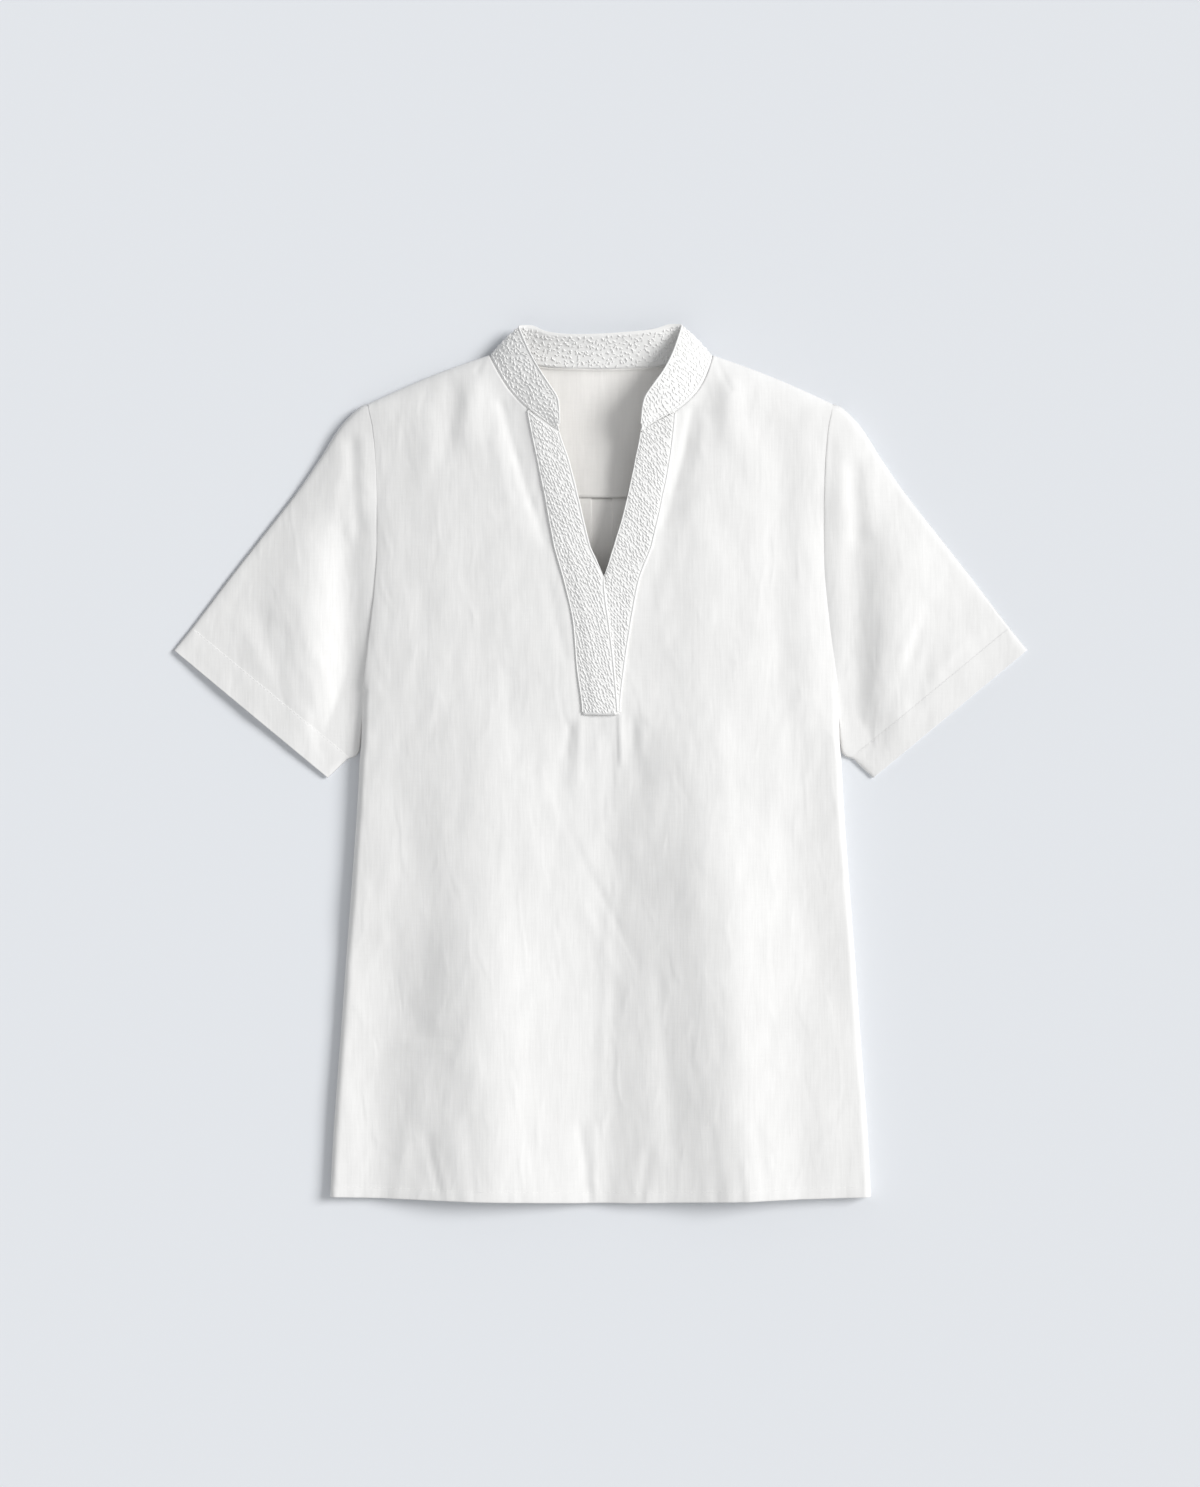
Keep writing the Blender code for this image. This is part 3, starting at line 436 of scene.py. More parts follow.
# Colours and the weave
LINEN = (0.868, 0.864, 0.858, 1.0)
THREAD = (0.918, 0.915, 0.908, 1.0)
# Warmer copy of the same linen for the back and yoke, seen inside the neck: partly painted warm shade of that hollow,
# partly painted light that keeps the shade there from going too dark
PAINTED_INSIDE_SHADE = (0.885, 0.869, 0.846, 1.0)
LINEN_LOOK = {"Roughness": 0.88, "Specular IOR Level": 0.22, "Sheen Weight": 0.12, "Sheen Roughness": 0.5}
THREAD_LOOK = {"Roughness": 0.72, "Specular IOR Level": 0.30, "Sheen Weight": 0.15}
FLOOR_LOOK = {"Base Color": (0.797, 0.820, 0.856, 1.0), "Roughness": 0.95, "Specular IOR Level": 0.0}
LINEN_SHADES = {"From Min": 0.35, "From Max": 0.65, "To Min": 0.966, "To Max": 1.016}
THREAD_SHADES = {"To Min": 0.96, "To Max": 1.03}
TWIST_SCALE = 900.0
Noise = namedtuple("Noise", "scale detail turn distortion kind", defaults=(0.0, 0.0, "FBM"))
WARP = Noise((430.0, 38.0, 1.0), 3.0)
WEFT = Noise((60.0, 560.0, 1.0), 2.0)
BROAD = Noise((70.0, 26.0, 1.0), 4.0)
WRINKLE = Noise((60.0, 24.0, 1.0), 2.5, 4.0, 0.6, "RIDGED_MULTIFRACTAL")
WEFT_SHARE, BROAD_SHARE = 0.28, 0.45
Relief = namedtuple("Relief", "strength distance")
SLUB_RELIEF, WRINKLE_RELIEF = Relief(0.42, 0.0006), Relief(0.28, 0.0012)

# Machine stitches of the hems
SEWN_LENGTH, SEWN_GAP, SEWN_RADIUS = 0.0024, 0.0012, 0.00024
SEWN_RINGS, SEWN_SIDES = 4, 6
SEWING_PLACES = np.array([0.0, 0.25, 0.75, 1.0])    # along a stitch, and its height there
SEWING_ARCH = np.array([-0.4, 0.7, 0.7, -0.4])      # in radii

# What each piece was cut to: flat width and length, flat area and what it lies on
Sheet = namedtuple("Sheet", "width length area rests")
SHEETS = {
    "front": Sheet(0.456, 0.713, 0.2740, ("back", "yoke")),
    "back": Sheet(0.516, 0.590, 0.2800, ("surface",)),
    "yoke": Sheet(0.388, 0.121, 0.0418, ("surface",)),
    "sleeve_l": Sheet(0.478, 0.262, 0.0590, ("surface",)),
    "sleeve_r": Sheet(0.478, 0.262, 0.0590, ("surface",)),
    "stand": Sheet(0.380, 0.0345, 0.0105, ("front", "yoke")),
    "placket_l": Sheet(0.0317, 0.2572, 0.0072, ("front",)),
    "placket_r": Sheet(0.0306, 0.2554, 0.0064, ("front",)),
}

# Lights: strength, spread in degrees and the direction they come from
Lamp = namedtuple("Lamp", "name strength spread direction")
LAMPS = [
    Lamp("window", 2.74, 26.0, (0.765, 0.270, 0.580)),
    Lamp("fill", 0.44, 60.0, (-0.100, -0.800, 0.600)),
]
LAMP_COLOUR = (1.0, 0.995, 0.985)
SKY_LOOK = {"Color": (0.97, 0.985, 1.0, 1.0), "Strength": 0.385}
FLOOR_HALF, FLOOR_Z = 30.0, -0.0004

# Photograph's frame
PHOTO_W, PHOTO_H = 1200, 1487
METRES_PER_PIXEL = 5.0 / 6.0 / 1000.0
ORIGIN_PIXEL = (600.5, 763.5)
LENS = 85.0
SENSOR = 36.0

# Curves and repeatable random values
STEEPEST = 3.0          # a cubic stretch with steeper ends would overshoot them
LEAST_LENGTH = 1e-12    # shorter vectors aren't made one long
LEAST_SHARE = 0.001     # a stitch stays this much before the last row of its band
SCATTER_X, SCATTER_Y, SCATTER_SEED, SCATTER = 127.1, 311.7, 74.7, 43758.5453


def column(table, name):
    """One named column of a table as an array."""
    return np.array([getattr(row, name) for row in table], float)


def steady(slope, rise):
    """Slope at the end of a stretch, kept from overshooting its rise."""
    return np.sign(rise) * np.clip(slope * np.sign(rise), 0.0, STEEPEST * np.abs(rise))


def along(table, place, name):
    """Smooth value of a column at places counted in rows of the table."""
    values = column(table, name)
    place = np.clip(np.asarray(place, float), 0.0, len(values) - 1.0)
    i = np.minimum(place.astype(int), len(values) - 2)
    s = place - i
    before, after = np.maximum(i - 1, 0), np.minimum(i + 2, len(values) - 1)
    p0, p1 = values[i], values[i + 1]
    rise = p1 - p0
    slope_in = steady((p1 - values[before]) / 2, rise)
    slope_out = steady((values[after] - p0) / 2, rise)
    return ((2 * s**3 - 3 * s**2 + 1) * p0 + (s**3 - 2 * s**2 + s) * slope_in
            + (3 * s**2 - 2 * s**3) * p1 + (s**3 - s**2) * slope_out)


def at_y(table, y, name):
    """Smooth value of a column at heights y of the table."""
    levels = column(table, "y")
    y = np.clip(np.asarray(y, float), levels[0], levels[-1])
    return along(table, np.interp(y, levels, np.arange(len(levels))), name)


def smooth_step(share):
    share = np.clip(share, 0.0, 1.0)
    return share * share * (3.0 - 2.0 * share)


def fading(place, fade):
    """Share that is left at a place before a fade's end."""
    return smooth_step((fade.end - place) / fade.width)


def stretches(parts):
    """Evenly spaced values along stretches that follow each other."""
    values = [np.linspace(*part)[:-1] for part in parts]
    return np.append(np.concatenate(values), parts[-1][1])


def half_width(y):
    return at_y(SIDES, y, "half")


def fold_height(folds, x, y):
    """Sum of the soft ridges and troughs at places in plan."""
    total = np.zeros(np.broadcast(x, y).shape)
    for fold in folds:
        run_x, run_y = fold.x1 - fold.x0, fold.y1 - fold.y0
        length = np.hypot(run_x, run_y)
        place = ((x - fold.x0) * run_x + (y - fold.y0) * run_y) / length
        off = ((x - fold.x0) * run_y - (y - fold.y0) * run_x) / length
        fade = min(FADE_SHARE * fold.width, FADE_MOST * length)
        ends = smooth_step(0.5 + place / fade) * smooth_step(0.5 + (length - place) / fade)
        total += fold.rise * ends * np.exp(-(off / fold.width) ** 2)
    return total


def lattice(ix, iy, seed):
    """Repeatable random value at whole-number places."""
    value = np.sin(ix * SCATTER_X + iy * SCATTER_Y + seed * SCATTER_SEED) * SCATTER
    return value - np.floor(value)


def soft_noise(x, y, seed):
    """Smooth noise from -1 to 1."""
    ix, iy = np.floor(x), np.floor(y)
    u, v = smooth_step(x - ix), smooth_step(y - iy)
    low = lattice(ix, iy, seed) * (1 - u) + lattice(ix + 1, iy, seed) * u
    high = lattice(ix, iy + 1, seed) * (1 - u) + lattice(ix + 1, iy + 1, seed) * u
    return 2.0 * (low * (1 - v) + high * v) - 1.0


def crumple(x, y, seed):
    """Slight unevenness of pressed linen, longer along the grain."""
    return sum(r.height * soft_noise(x / r.across + y / r.shift, y / r.along, seed + r.seed)
               for r in RIPPLES)


def waves(wave, x, y):
    """Height of cloth that stands off the surface in broad soft waves."""
    return wave.height * (1 + soft_noise(x / wave.across, y / wave.along, wave.seed))


def front_top(x, y, fine=True):
    """Height of the front before it rolls down at its edges."""
    middle, edge = at_y(LOFTS, y, "middle"), at_y(LOFTS, y, "edge")
    spread = np.minimum(np.abs(x) / half_width(y), 1.0) ** LOFT_POWER
    height = middle + (edge - middle) * spread + fold_height(FRONT_FOLDS, x, y)
    if fine:
        height = height + fold_height(FRONT_CREASES, x, y) + crumple(x, y, FRONT_SEED)
    return height


def quarter(distance, radius):
    """Share of the full height at a distance from a rolled edge."""
    share = np.clip(distance / radius, 0.0, 1.0)
    return np.sqrt(np.maximum(0.0, 1.0 - (1.0 - share) ** 2))


def front_height(x, y, roll, rise):
    """Height of the front with its rolled edges, down to the seam where it doesn't rise."""
    side = np.maximum(half_width(y) - np.abs(x), 0.0)
    keep = 1.0 - roll * (1.0 - quarter(side, SIDE_ROLL))
    return SEAM_Z + (front_top(x, y) - SEAM_Z) * keep * rise


def side_name(side):
    return "left" if side < 0 else "right"


def plan_point(table, place, name):
    """Points in plan from the two columns of a table with one name."""
    return np.stack([along(table, place, name + "_x"), along(table, place, name + "_y")], -1)


def neck_point(side, place):
    return plan_point(NECK, place, side_name(side))


def spread_line(start, end, shares):
    """Points on straight lines between starts and ends, one line a row."""
    return start[:, None] + (end - start)[:, None] * np.asarray(shares)[None, :, None]


def side_shares(count, reach):
    """Places from the band to the side seam, denser where the edge rolls."""
    angles = np.linspace(pi / 2, 0.0, ROLL_POINTS)
    ends = 1.0 - SIDE_ROLL * (1.0 - np.cos(angles)) / reach
    return np.concatenate([np.linspace(0.0, ends[0], count)[:-1], ends])


def front_low_plan(side, places, band_shares, outer_shares):
    """Plan of half the front below the neck, with the rolls and rises of its rows."""
    inner, outer_y = along(LOW_ROWS, places, "inner"), along(LOW_ROWS, places, "outer")
    name = side_name(side)
    start_x = np.where(inner > V_EDGES[0].y, at_y(V_EDGES, inner, name), CENTRE_X)
    start = np.stack([start_x, inner], -1)
    lift = BAND_RAKE * np.where(inner > V_EDGES[0].y, at_y(V_EDGES, inner, "right") - CENTRE_X, 0.0)
    band = np.stack([at_y(BAND_EDGES, inner + lift, name), inner + lift], -1)
    outer = np.stack([side * half_width(outer_y), outer_y], -1)
    last = len(LOW_ROWS) - 1
    top = np.clip(places - (last - 1), 0.0, 1.0)[:, None]
    band = band + (neck_point(side, np.full(len(places), NECK_SHARE)) - band) * top
    across = spread_line(start, band, band_shares)
    curve = neck_point(side, np.asarray(band_shares) * NECK_SHARE)
    across = across + (curve[None] - across) * top[..., None] ** 2
    plan = np.concatenate([across[:, :-1], spread_line(band, outer, outer_shares)], 1)
    return plan, along(LOW_ROWS, places, "roll"), along(LOW_ROWS, places, "rise")


def front_high_plan(side, places, outer_shares):
    """Plan of half the front beside the neck."""
    inner, outer_y = along(NECK_ROWS, places, "inner"), along(NECK_ROWS, places, "outer")
    rise = np.clip(along(NECK_ROWS, places, "rise"), 0.0, 1.0)
    start = neck_point(side, inner)
    outer = np.stack([side * half_width(outer_y), outer_y], -1)
    plan = spread_line(start, outer, outer_shares)
    bow = SHOULDER_BOW * np.sin(pi * np.asarray(outer_shares))
    plan[..., 1] += bow[None] * (1.0 - rise)[:, None]
    return plan, np.zeros(len(places)), rise


def hem_profile(distance, x):
    """Folded hem: doubled cloth up to the stitch line, slightly puckered there."""
    fold = HEM_LIFT * smooth_step((HEM_DEPTH - distance) / HEM_RAMP + 0.5)
    groove = -HEM_GROOVE * np.exp(-((distance - HEM_DEPTH) / HEM_GROOVE_WIDTH) ** 2)
    still = np.zeros_like(distance)
    pucker = sum(p.height * soft_noise(x / p.length, still, p.seed) for p in PUCKERS)
    edge = -HEM_EDGE * np.exp(-(distance / HEM_EDGE_WIDTH) ** 2)
    return fold + groove + pucker * np.exp(-(distance / PUCKER_REACH) ** 2) + edge


def grid_faces(rows, columns, flip, ring=False):
    i, j = np.meshgrid(np.arange(rows - 1), np.arange(columns if ring else columns - 1), indexing="ij")
    k = (j + 1) % columns
    faces = np.stack([i * columns + j, i * columns + k, (i + 1) * columns + k, (i + 1) * columns + j], -1)
    faces = faces.reshape(-1, 4)
    return faces[:, ::-1] if flip else faces


def placed(name, data):
    """New object in the scene."""
    item = bpy.data.objects.new(name, data)
    bpy.context.scene.collection.objects.link(item)
    return item


def new_object(name, points, faces, material, uvs=None, weld=False):
    """Smooth-shaded mesh object, its faces' corners mapped in metres along the grain."""
    mesh = bpy.data.meshes.new(name)
    mesh.from_pydata(points.tolist(), [], faces.tolist())
    if uvs is not None:
        layer = mesh.uv_layers.new(name="grain")
        corner = np.zeros(len(mesh.loops), np.int32)
        mesh.loops.foreach_get("vertex_index", corner)
        layer.data.foreach_set("uv", uvs[corner].astype(np.float32).ravel())
    if weld:
        work = bmesh.new()
        work.from_mesh(mesh)
        bmesh.ops.remove_doubles(work, verts=work.verts, dist=WELD)
        work.to_mesh(mesh)
        work.free()
    mesh.shade_smooth()
    mesh.materials.append(material)
    return placed(name, mesh)


def thicken(item, wall, weights=None):
    solid = item.modifiers.new("wall", "SOLIDIFY")
    solid.thickness = wall
    solid.offset = -1.0
    if weights is not None:
        group = item.vertex_groups.new(name="layers")
        for index, weight in enumerate(weights):
            group.add([index], float(weight), "REPLACE")
        solid.vertex_group = group.name
    return item


def ride(item, slot, *nodes):
    """Fix an object to the part, with its slot and the nodes that it stands for."""
    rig.ride(item, "root")
    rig.slot(item, slot)
    if nodes:
        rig.replaces(item, *nodes)
    return item


def lay(item, with_pieces=()):
    """Declare a piece of cloth with the size it was cut to."""
    cut = SHEETS[item.name]
    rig.sheet(item, flat=(cut.width, cut.length), held="laid", rests_on=list(cut.rests), area=cut.area,
             with_pieces=list(with_pieces))


def panel(name, node_name, points, faces, material, wall=LINEN_WALL, layers=None, weld=False):
    """Panel of linen from the points of its outer face."""
    points = points.reshape(-1, 3)
    item = new_object(name, points, faces, material, points[:, :2], weld)
    thicken(item, wall, layers)
    return ride(item, "linen", node_name)


def hem_line():
    """Places of the front's hem stitches, from side to side."""
    low = LOW_ROWS[0]
    reach = float(half_width(low.outer))
    x = np.linspace(HEM_LINE_INSET - reach, reach - HEM_LINE_INSET, HEM_LINE_POINTS)
    flat = BAND_EDGES[0].right
    outward = np.clip((np.abs(x) - flat) / (reach - flat), 0.0, 1.0)
    y = HEM_DEPTH + low.inner + (low.outer - low.inner) * outward
    z = front_height(x, y, 1.0, 1.0) + hem_profile(np.full(len(x), HEM_DEPTH), x)
    return np.column_stack([x, y, z])


def front_piece(material, thread):
    """Front panel with its V, hem and creases."""
    points, faces, count = [], [], 0
    low_places = stretches(FRONT_GRID)
    high_places = np.linspace(0, len(NECK_ROWS) - 1, FRONT_NECK_POINTS)
    band_shares = np.linspace(0.0, 1.0, FRONT_BAND_POINTS)
    shares = side_shares(FRONT_SIDE_POINTS, FRONT_REACH)
    for side in (-1, 1):
        low = front_low_plan(side, low_places, band_shares, shares)
        high = front_high_plan(side, high_places, shares)
        for part, (plan, roll, rise) in enumerate((low, high)):
            x, y = plan[..., 0], plan[..., 1]
            z = front_height(x, y, roll[:, None], rise[:, None])
            if part == 0:
                z = z + hem_profile(y - y[0][None, :], x)
            points.append(np.stack([x, y, z], -1).reshape(-1, 3))
            faces.append(grid_faces(*x.shape, side < 0) + count)
            count += x.size
    item = panel("front", "front_body", np.concatenate(points), np.concatenate(faces), material, weld=True)
    lay(item, [sewn_line("hem_stitches", hem_line(), thread)])


def back_piece(material):
    """Back panel below the yoke, its box pleat folded on the inner face."""
    places = stretches(BACK_GRID)
    y = along(LOW_ROWS, places, "outer")
    roll = np.clip(along(LOW_ROWS, places, "roll"), 0.0, 1.0)
    within, beside = (np.linspace(*part) for part in PLEAT_GRID)
    pleat = np.concatenate([within, [PLEAT_IN - PLEAT_STEP, PLEAT_IN + PLEAT_STEP], beside]) / BACK_HALF
    plain = stretches([(pleat[-1], BACK_EDGE_SHARE, BACK_POINTS), (BACK_EDGE_SHARE, 1.0, BACK_EDGE_POINTS)])
    half = np.concatenate([pleat, plain[1:]])
    shares = np.concatenate([-half[::-1][:-1], half])[None]
    width = half_width(y)[:, None]
    x = np.where(np.abs(shares) <= pleat[-1], shares * BACK_HALF, shares * width)
    above = (y - y[0])[:, None]
    rows = y[:, None] + (HEM_Y - y[0]) * (1 - shares ** 2) * np.exp(-above / BACK_BOW_REACH)
    side = width - np.abs(x)
    z = (SEAM_Z - SEAM_DROP) * roll[:, None] * (1.0 - quarter(np.maximum(side, 0.0), UNDER_ROLL))
    lift = np.clip((np.abs(x) - BACK_WAVE_START) / BACK_WAVE_RISE, 0.0, 1.0)
    lift = lift * np.clip(side / BACK_WAVE_EDGE, 0.0, 1.0)
    z = z + lift * waves(BACK_WAVE, x, rows) + fold_height(BACK_FOLDS, x, rows)
    single = LINEN_WALL / PLEAT_WALL
    layers = single + (1 - single) * smooth_step((rows - HEM_Y) / (YOKE_SEAM_Y - HEM_Y))
    weight = np.where((np.abs(x) > PLEAT_IN) & (np.abs(x) < PLEAT_OUT), layers, single)
    x = x + PLEAT_SHIFT * fading(np.abs(x), PLEAT_SHIFT_FADE)
    lay(panel("back", "back_body", np.stack([x, rows, z], -1), grid_faces(*x.shape, True), material,
              PLEAT_WALL, weight.ravel()))


def back_neck(side, place):
    z = SEAM_Z - SEAM_DROP + (BACK_NECK_Z - SEAM_Z + SEAM_DROP) * smooth_step(np.asarray(place, float))
    return np.column_stack([plan_point(BACK_NECK, place, side_name(side)), z])


def yoke_piece(material):
    """Back yoke with its soft centre crease."""
    shoulder = np.linspace(1.0, 0.0, SHOULDER_POINTS)[:-1]
    neck = np.linspace(0.0, len(BACK_NECK) - 1, BACK_NECK_POINTS)
    halves = []
    for side in (-1, 1):
        end = np.array([side * half_width(SHOULDER_Y), SHOULDER_Y])
        start = neck_point(side, np.array([len(NECK) - 1]))[0]
        line = start + (end - start) * shoulder[:, None]
        line[:, 1] += SHOULDER_BOW * np.sin(pi * shoulder)
        line = np.column_stack([line, np.full(len(line), SEAM_Z - SEAM_DROP)])
        halves.append(np.concatenate([line, back_neck(side, neck)]))
    top = np.concatenate([halves[0], halves[1][::-1][1:]])
    share = stretches(YOKE_GRID)[:, None]
    level = YOKE_SEAM_Y + share * (SHOULDER_Y - YOKE_SEAM_Y)
    x = top[None, :, 0] * (half_width(level) / half_width(SHOULDER_Y))
    y = YOKE_SEAM_Y - YOKE_TURN + (top[None, :, 1] - YOKE_SEAM_Y + YOKE_TURN) * share
    z = top[None, :, 2] * (1.0 - quarter(np.maximum(top[None, :, 1] - y, 0.0), UNDER_ROLL))
    inside = np.clip((YOKE_WAVE_FADE.end - np.abs(x)) / YOKE_WAVE_FADE.width, 0.0, 1.0)
    crease = YOKE_CREASE * np.exp(-(x / YOKE_CREASE_WIDTH) ** 2)
    z = z + inside * (crease + waves(YOKE_WAVE, x, y)) + fold_height(BACK_FOLDS, x, y)
    above = y - YOKE_SEAM_Y
    over = YOKE_OVER * fading(np.abs(x), YOKE_OVER_SIDE) * fading(above, YOKE_OVER_TOP)
    z = z + over + YOKE_LIP * fading(above, YOKE_LIP_TOP)
    lay(panel("yoke", "back_yoke", np.stack([x, y, z], -1), grid_faces(*x.shape, True), material))


def armhole_state(share):
    """Roll and rise of the body's edge down the armhole, from the shoulder."""
    rows = LOW_ROWS[ARMPIT_ROW:] + NECK_ROWS[1:]
    levels = np.array([row.outer for row in rows])
    level = SHOULDER_Y - share * (SHOULDER_Y - ARMPIT_Y)
    roll = np.interp(level, levels, [row.roll for row in rows])
    rise = np.interp(level, levels, [row.rise for row in rows])
    return roll, rise


def sleeve_piece(side, name, node_name, material, thread):
    """Open sleeve tube with its deep cuff hem."""
    places = stretches(SLEEVE_GRID)
    crowded = 0.5 - 0.5 * np.cos(np.linspace(0, pi, SLEEVE_POINTS))
    share = crowded * CROWDING + np.linspace(0, 1, SLEEVE_POINTS) * (1 - CROWDING)
    lower = share[::-UNDER_STEP][1:-1]
    top, under = plan_point(SLEEVE, places, "top"), plan_point(SLEEVE, places, "under")
    lean = np.clip(along(SLEEVE, places, "lean"), 0.0, 1.0)[:, None]
    loft, edge = along(SLEEVE, places, "loft")[:, None], along(SLEEVE, places, "edge")[:, None]
    seam = np.minimum(SEAM_Z, EDGE_SEAM * edge)
    span = np.hypot(*(top - under).T)[:, None]
    foot = SHOULDER_Y - ARMPIT_Y
    folds = SLEEVE_FOLDS + (LEFT_SLEEVE_FOLDS if side < 0 else RIGHT_SLEEVE_FOLDS)
    past = (places - CUFF_PLACE)[:, None]
    rings = []
    for shares, upper in ((share, True), (lower, False)):
        plan = spread_line(top, under, shares)
        level = SHOULDER_Y - shares * foot
        straight = SLEEVE[0].top_x + (SLEEVE[0].under_x - SLEEVE[0].top_x) * shares
        bow = half_width(level) + ARMHOLE_GAP - straight
        x = plan[..., 0] + bow[None] * lean
        y = plan[..., 1]
        close = quarter(shares[None] * span, SLEEVE_ROLL) * quarter((1 - shares[None]) * span, SLEEVE_ROLL)
        roll, rise = armhole_state(shares)
        if upper:
            crown = edge + (loft - edge) * np.sin(pi * shares)[None]
            fine = fold_height(folds, x, y) + crumple(x, y, SLEEVE_SEED + side)
            free = seam + np.maximum(crown + fine - seam, LEAST_CROWN) * close
            body = front_top(side * half_width(level), level, False)
            joined = SEAM_Z + (body - SEAM_Z) * (1 - roll) * rise
            z = free + (joined - free) * lean
            sink = ARMHOLE_SINK[side] * (SINK_LEAST + (1 - SINK_LEAST) * fading(shares, SINK_FADE))
            z = z - sink * np.exp(-((places / SINK_REACH) ** 2))[:, None] * rise
            groove = CUFF_GROOVE * np.exp(-(past / CUFF_GROOVE_WIDTH) ** 2)
            z = z + close * (HEM_LIFT * smooth_step(past / CUFF_RAMP + 0.5) - groove)
        else:
            free = seam * (1 - close)
            joined = (SEAM_Z - SEAM_DROP) * np.maximum(roll, 1 - quarter(shares * foot, UNDER_ROLL))
            z = free + (joined - free) * lean
        rings.append(np.stack([side * x, y, z], -1))
    ring = np.concatenate(rings, 1)
    item = panel(name, node_name, ring, grid_faces(*ring.shape[:2], side < 0, ring=True), material)
    seam_row = ring[np.argmin(np.abs(past)), CUFF_LINE_INSET:len(share) - CUFF_LINE_INSET]
    lay(item, [sewn_line(name + "_stitches", seam_row, thread)])


def smoothed(line, passes):
    """Curve with its corners eased."""
    for _ in range(passes):
        line[1:-1] = (line[:-2] + 2 * line[1:-1] + line[2:]) / 4
    return line


def stand_grid():
    """Outer face of the collar stand, from its left front end to its right one."""
    halves = []
    front_places = np.linspace(0, len(NECK) - 1, STAND_FRONT_POINTS)[:-1]
    back_places = np.linspace(0, len(BACK_NECK) - 1, STAND_BACK_POINTS)
    knots = [0.0] + [row.inner for row in NECK_ROWS]
    rises = [1.0] + [row.rise for row in NECK_ROWS]
    for side in (-1, 1):
        flat = neck_point(side, front_places)
        rise = np.interp(front_places, knots, rises)
        z = SEAM_Z + (front_top(flat[:, 0], flat[:, 1], False) - SEAM_Z) * rise
        seam = np.concatenate([np.column_stack([flat, z]), back_neck(side, back_places)])
        free = np.concatenate([
            np.column_stack([plan_point(table, at, side_name(side)), along(table, at, "z")])
            for table, at in ((FRONT_FREE_EDGE, front_places), (BACK_FREE_EDGE, back_places))])
        half = np.stack([seam, free])
        halves.append(half if side < 0 else half[:, ::-1][:, 1:])
    seam, free = (smoothed(line, STAND_EASING) for line in np.concatenate(halves, 1))
    shares = np.linspace(0.0, 1.0, STAND_ACROSS)
    grid = spread_line(seam, free, shares)
    bulge = STAND_BULGE * np.sin(pi * shares)
    return grid + normals_of(grid) * bulge[None, :, None]


def unit(vectors):
    """Vectors made one long."""
    return vectors / np.maximum(np.linalg.norm(vectors, axis=-1, keepdims=True), LEAST_LENGTH)


def run_along(line):
    """Distance from the start of a line to each of its points."""
    return np.concatenate([[0], np.cumsum(np.linalg.norm(np.diff(line, axis=0), axis=1))])


def normals_of(grid):
    """Unit normals of a grid of points."""
    return unit(np.cross(np.gradient(grid, axis=1), np.gradient(grid, axis=0)))


def upward(grid):
    """Unit normals of a grid of points on their upper side."""
    normal = normals_of(grid)
    return normal * np.sign(normal[..., 2:3])


def band_grid(side):
    """Outer face of a placket band on the front, from its foot to the neck."""
    places = np.linspace(BAND_ROW, len(LOW_ROWS) - 1, BAND_LENGTH_POINTS)
    shares = np.linspace(0.0, 1.0, BAND_PLAN_POINTS)
    own = front_low_plan(side, places, shares, [0.0])[0]
    other = front_low_plan(-side, places, shares, [0.0])[0]
    inner = along(LOW_ROWS, places, "inner")
    over = side < 0
    share = np.linspace(0, 1, BAND_ACROSS)
    grid = np.zeros((len(places), len(share), 3))
    for i, level in enumerate(inner):
        line = own[i]
        if level <= V_EDGES[0].y:
            line = np.concatenate([own[i][::-1], other[i][1:]])
            edge = float(at_y(OVERLAPS, level, "right" if over else "left"))
        else:
            edge = own[i][0, 0]
        order = np.argsort(line[:, 0])
        x = own[i][-1, 0] + (edge - own[i][-1, 0]) * share
        grid[i, :, 0] = x
        grid[i, :, 1] = np.interp(x, line[order, 0], line[order, 1])
    x, y = grid[..., 0], grid[..., 1]
    grid[..., 2] = front_top(x, y, False)
    crossing = smooth_step((CROSS_TOP - inner) / (CROSS_TOP - CROSS_FULL)) if over else inner * 0
    raised = crossing[:, None] * smooth_step((share - CROSS_START) / CROSS_WIDTH)[None]
    drop = BAND_EDGE_DROP * (np.exp(-share / BAND_EDGE_SHARE) + np.exp((share - 1) / BAND_EDGE_SHARE))
    return grid + upward(grid) * (BAND_LIFT * (1 + raised) - drop[None])[..., None]


def stitch_shape():
    """Points and faces of one small stitch, one long, one wide and one high."""
    rings = [(-0.5, 0.15, 0.1), (-0.3, 0.85, 0.75), (0.0, 1.0, 1.0), (0.3, 0.85, 0.75), (0.5, 0.15, 0.1)]
    sides = [(-0.5, -0.4), (-0.28, 0.8), (0.28, 0.8), (0.5, -0.4)]
    points = np.array([(a, b * wide, h * high) for a, wide, high in rings for b, h in sides])
    faces = grid_faces(len(rings), len(sides), True, ring=True)
    ends = np.array([[3, 2, 1, 0], [16, 17, 18, 19]])
    return points, np.concatenate([faces, ends])


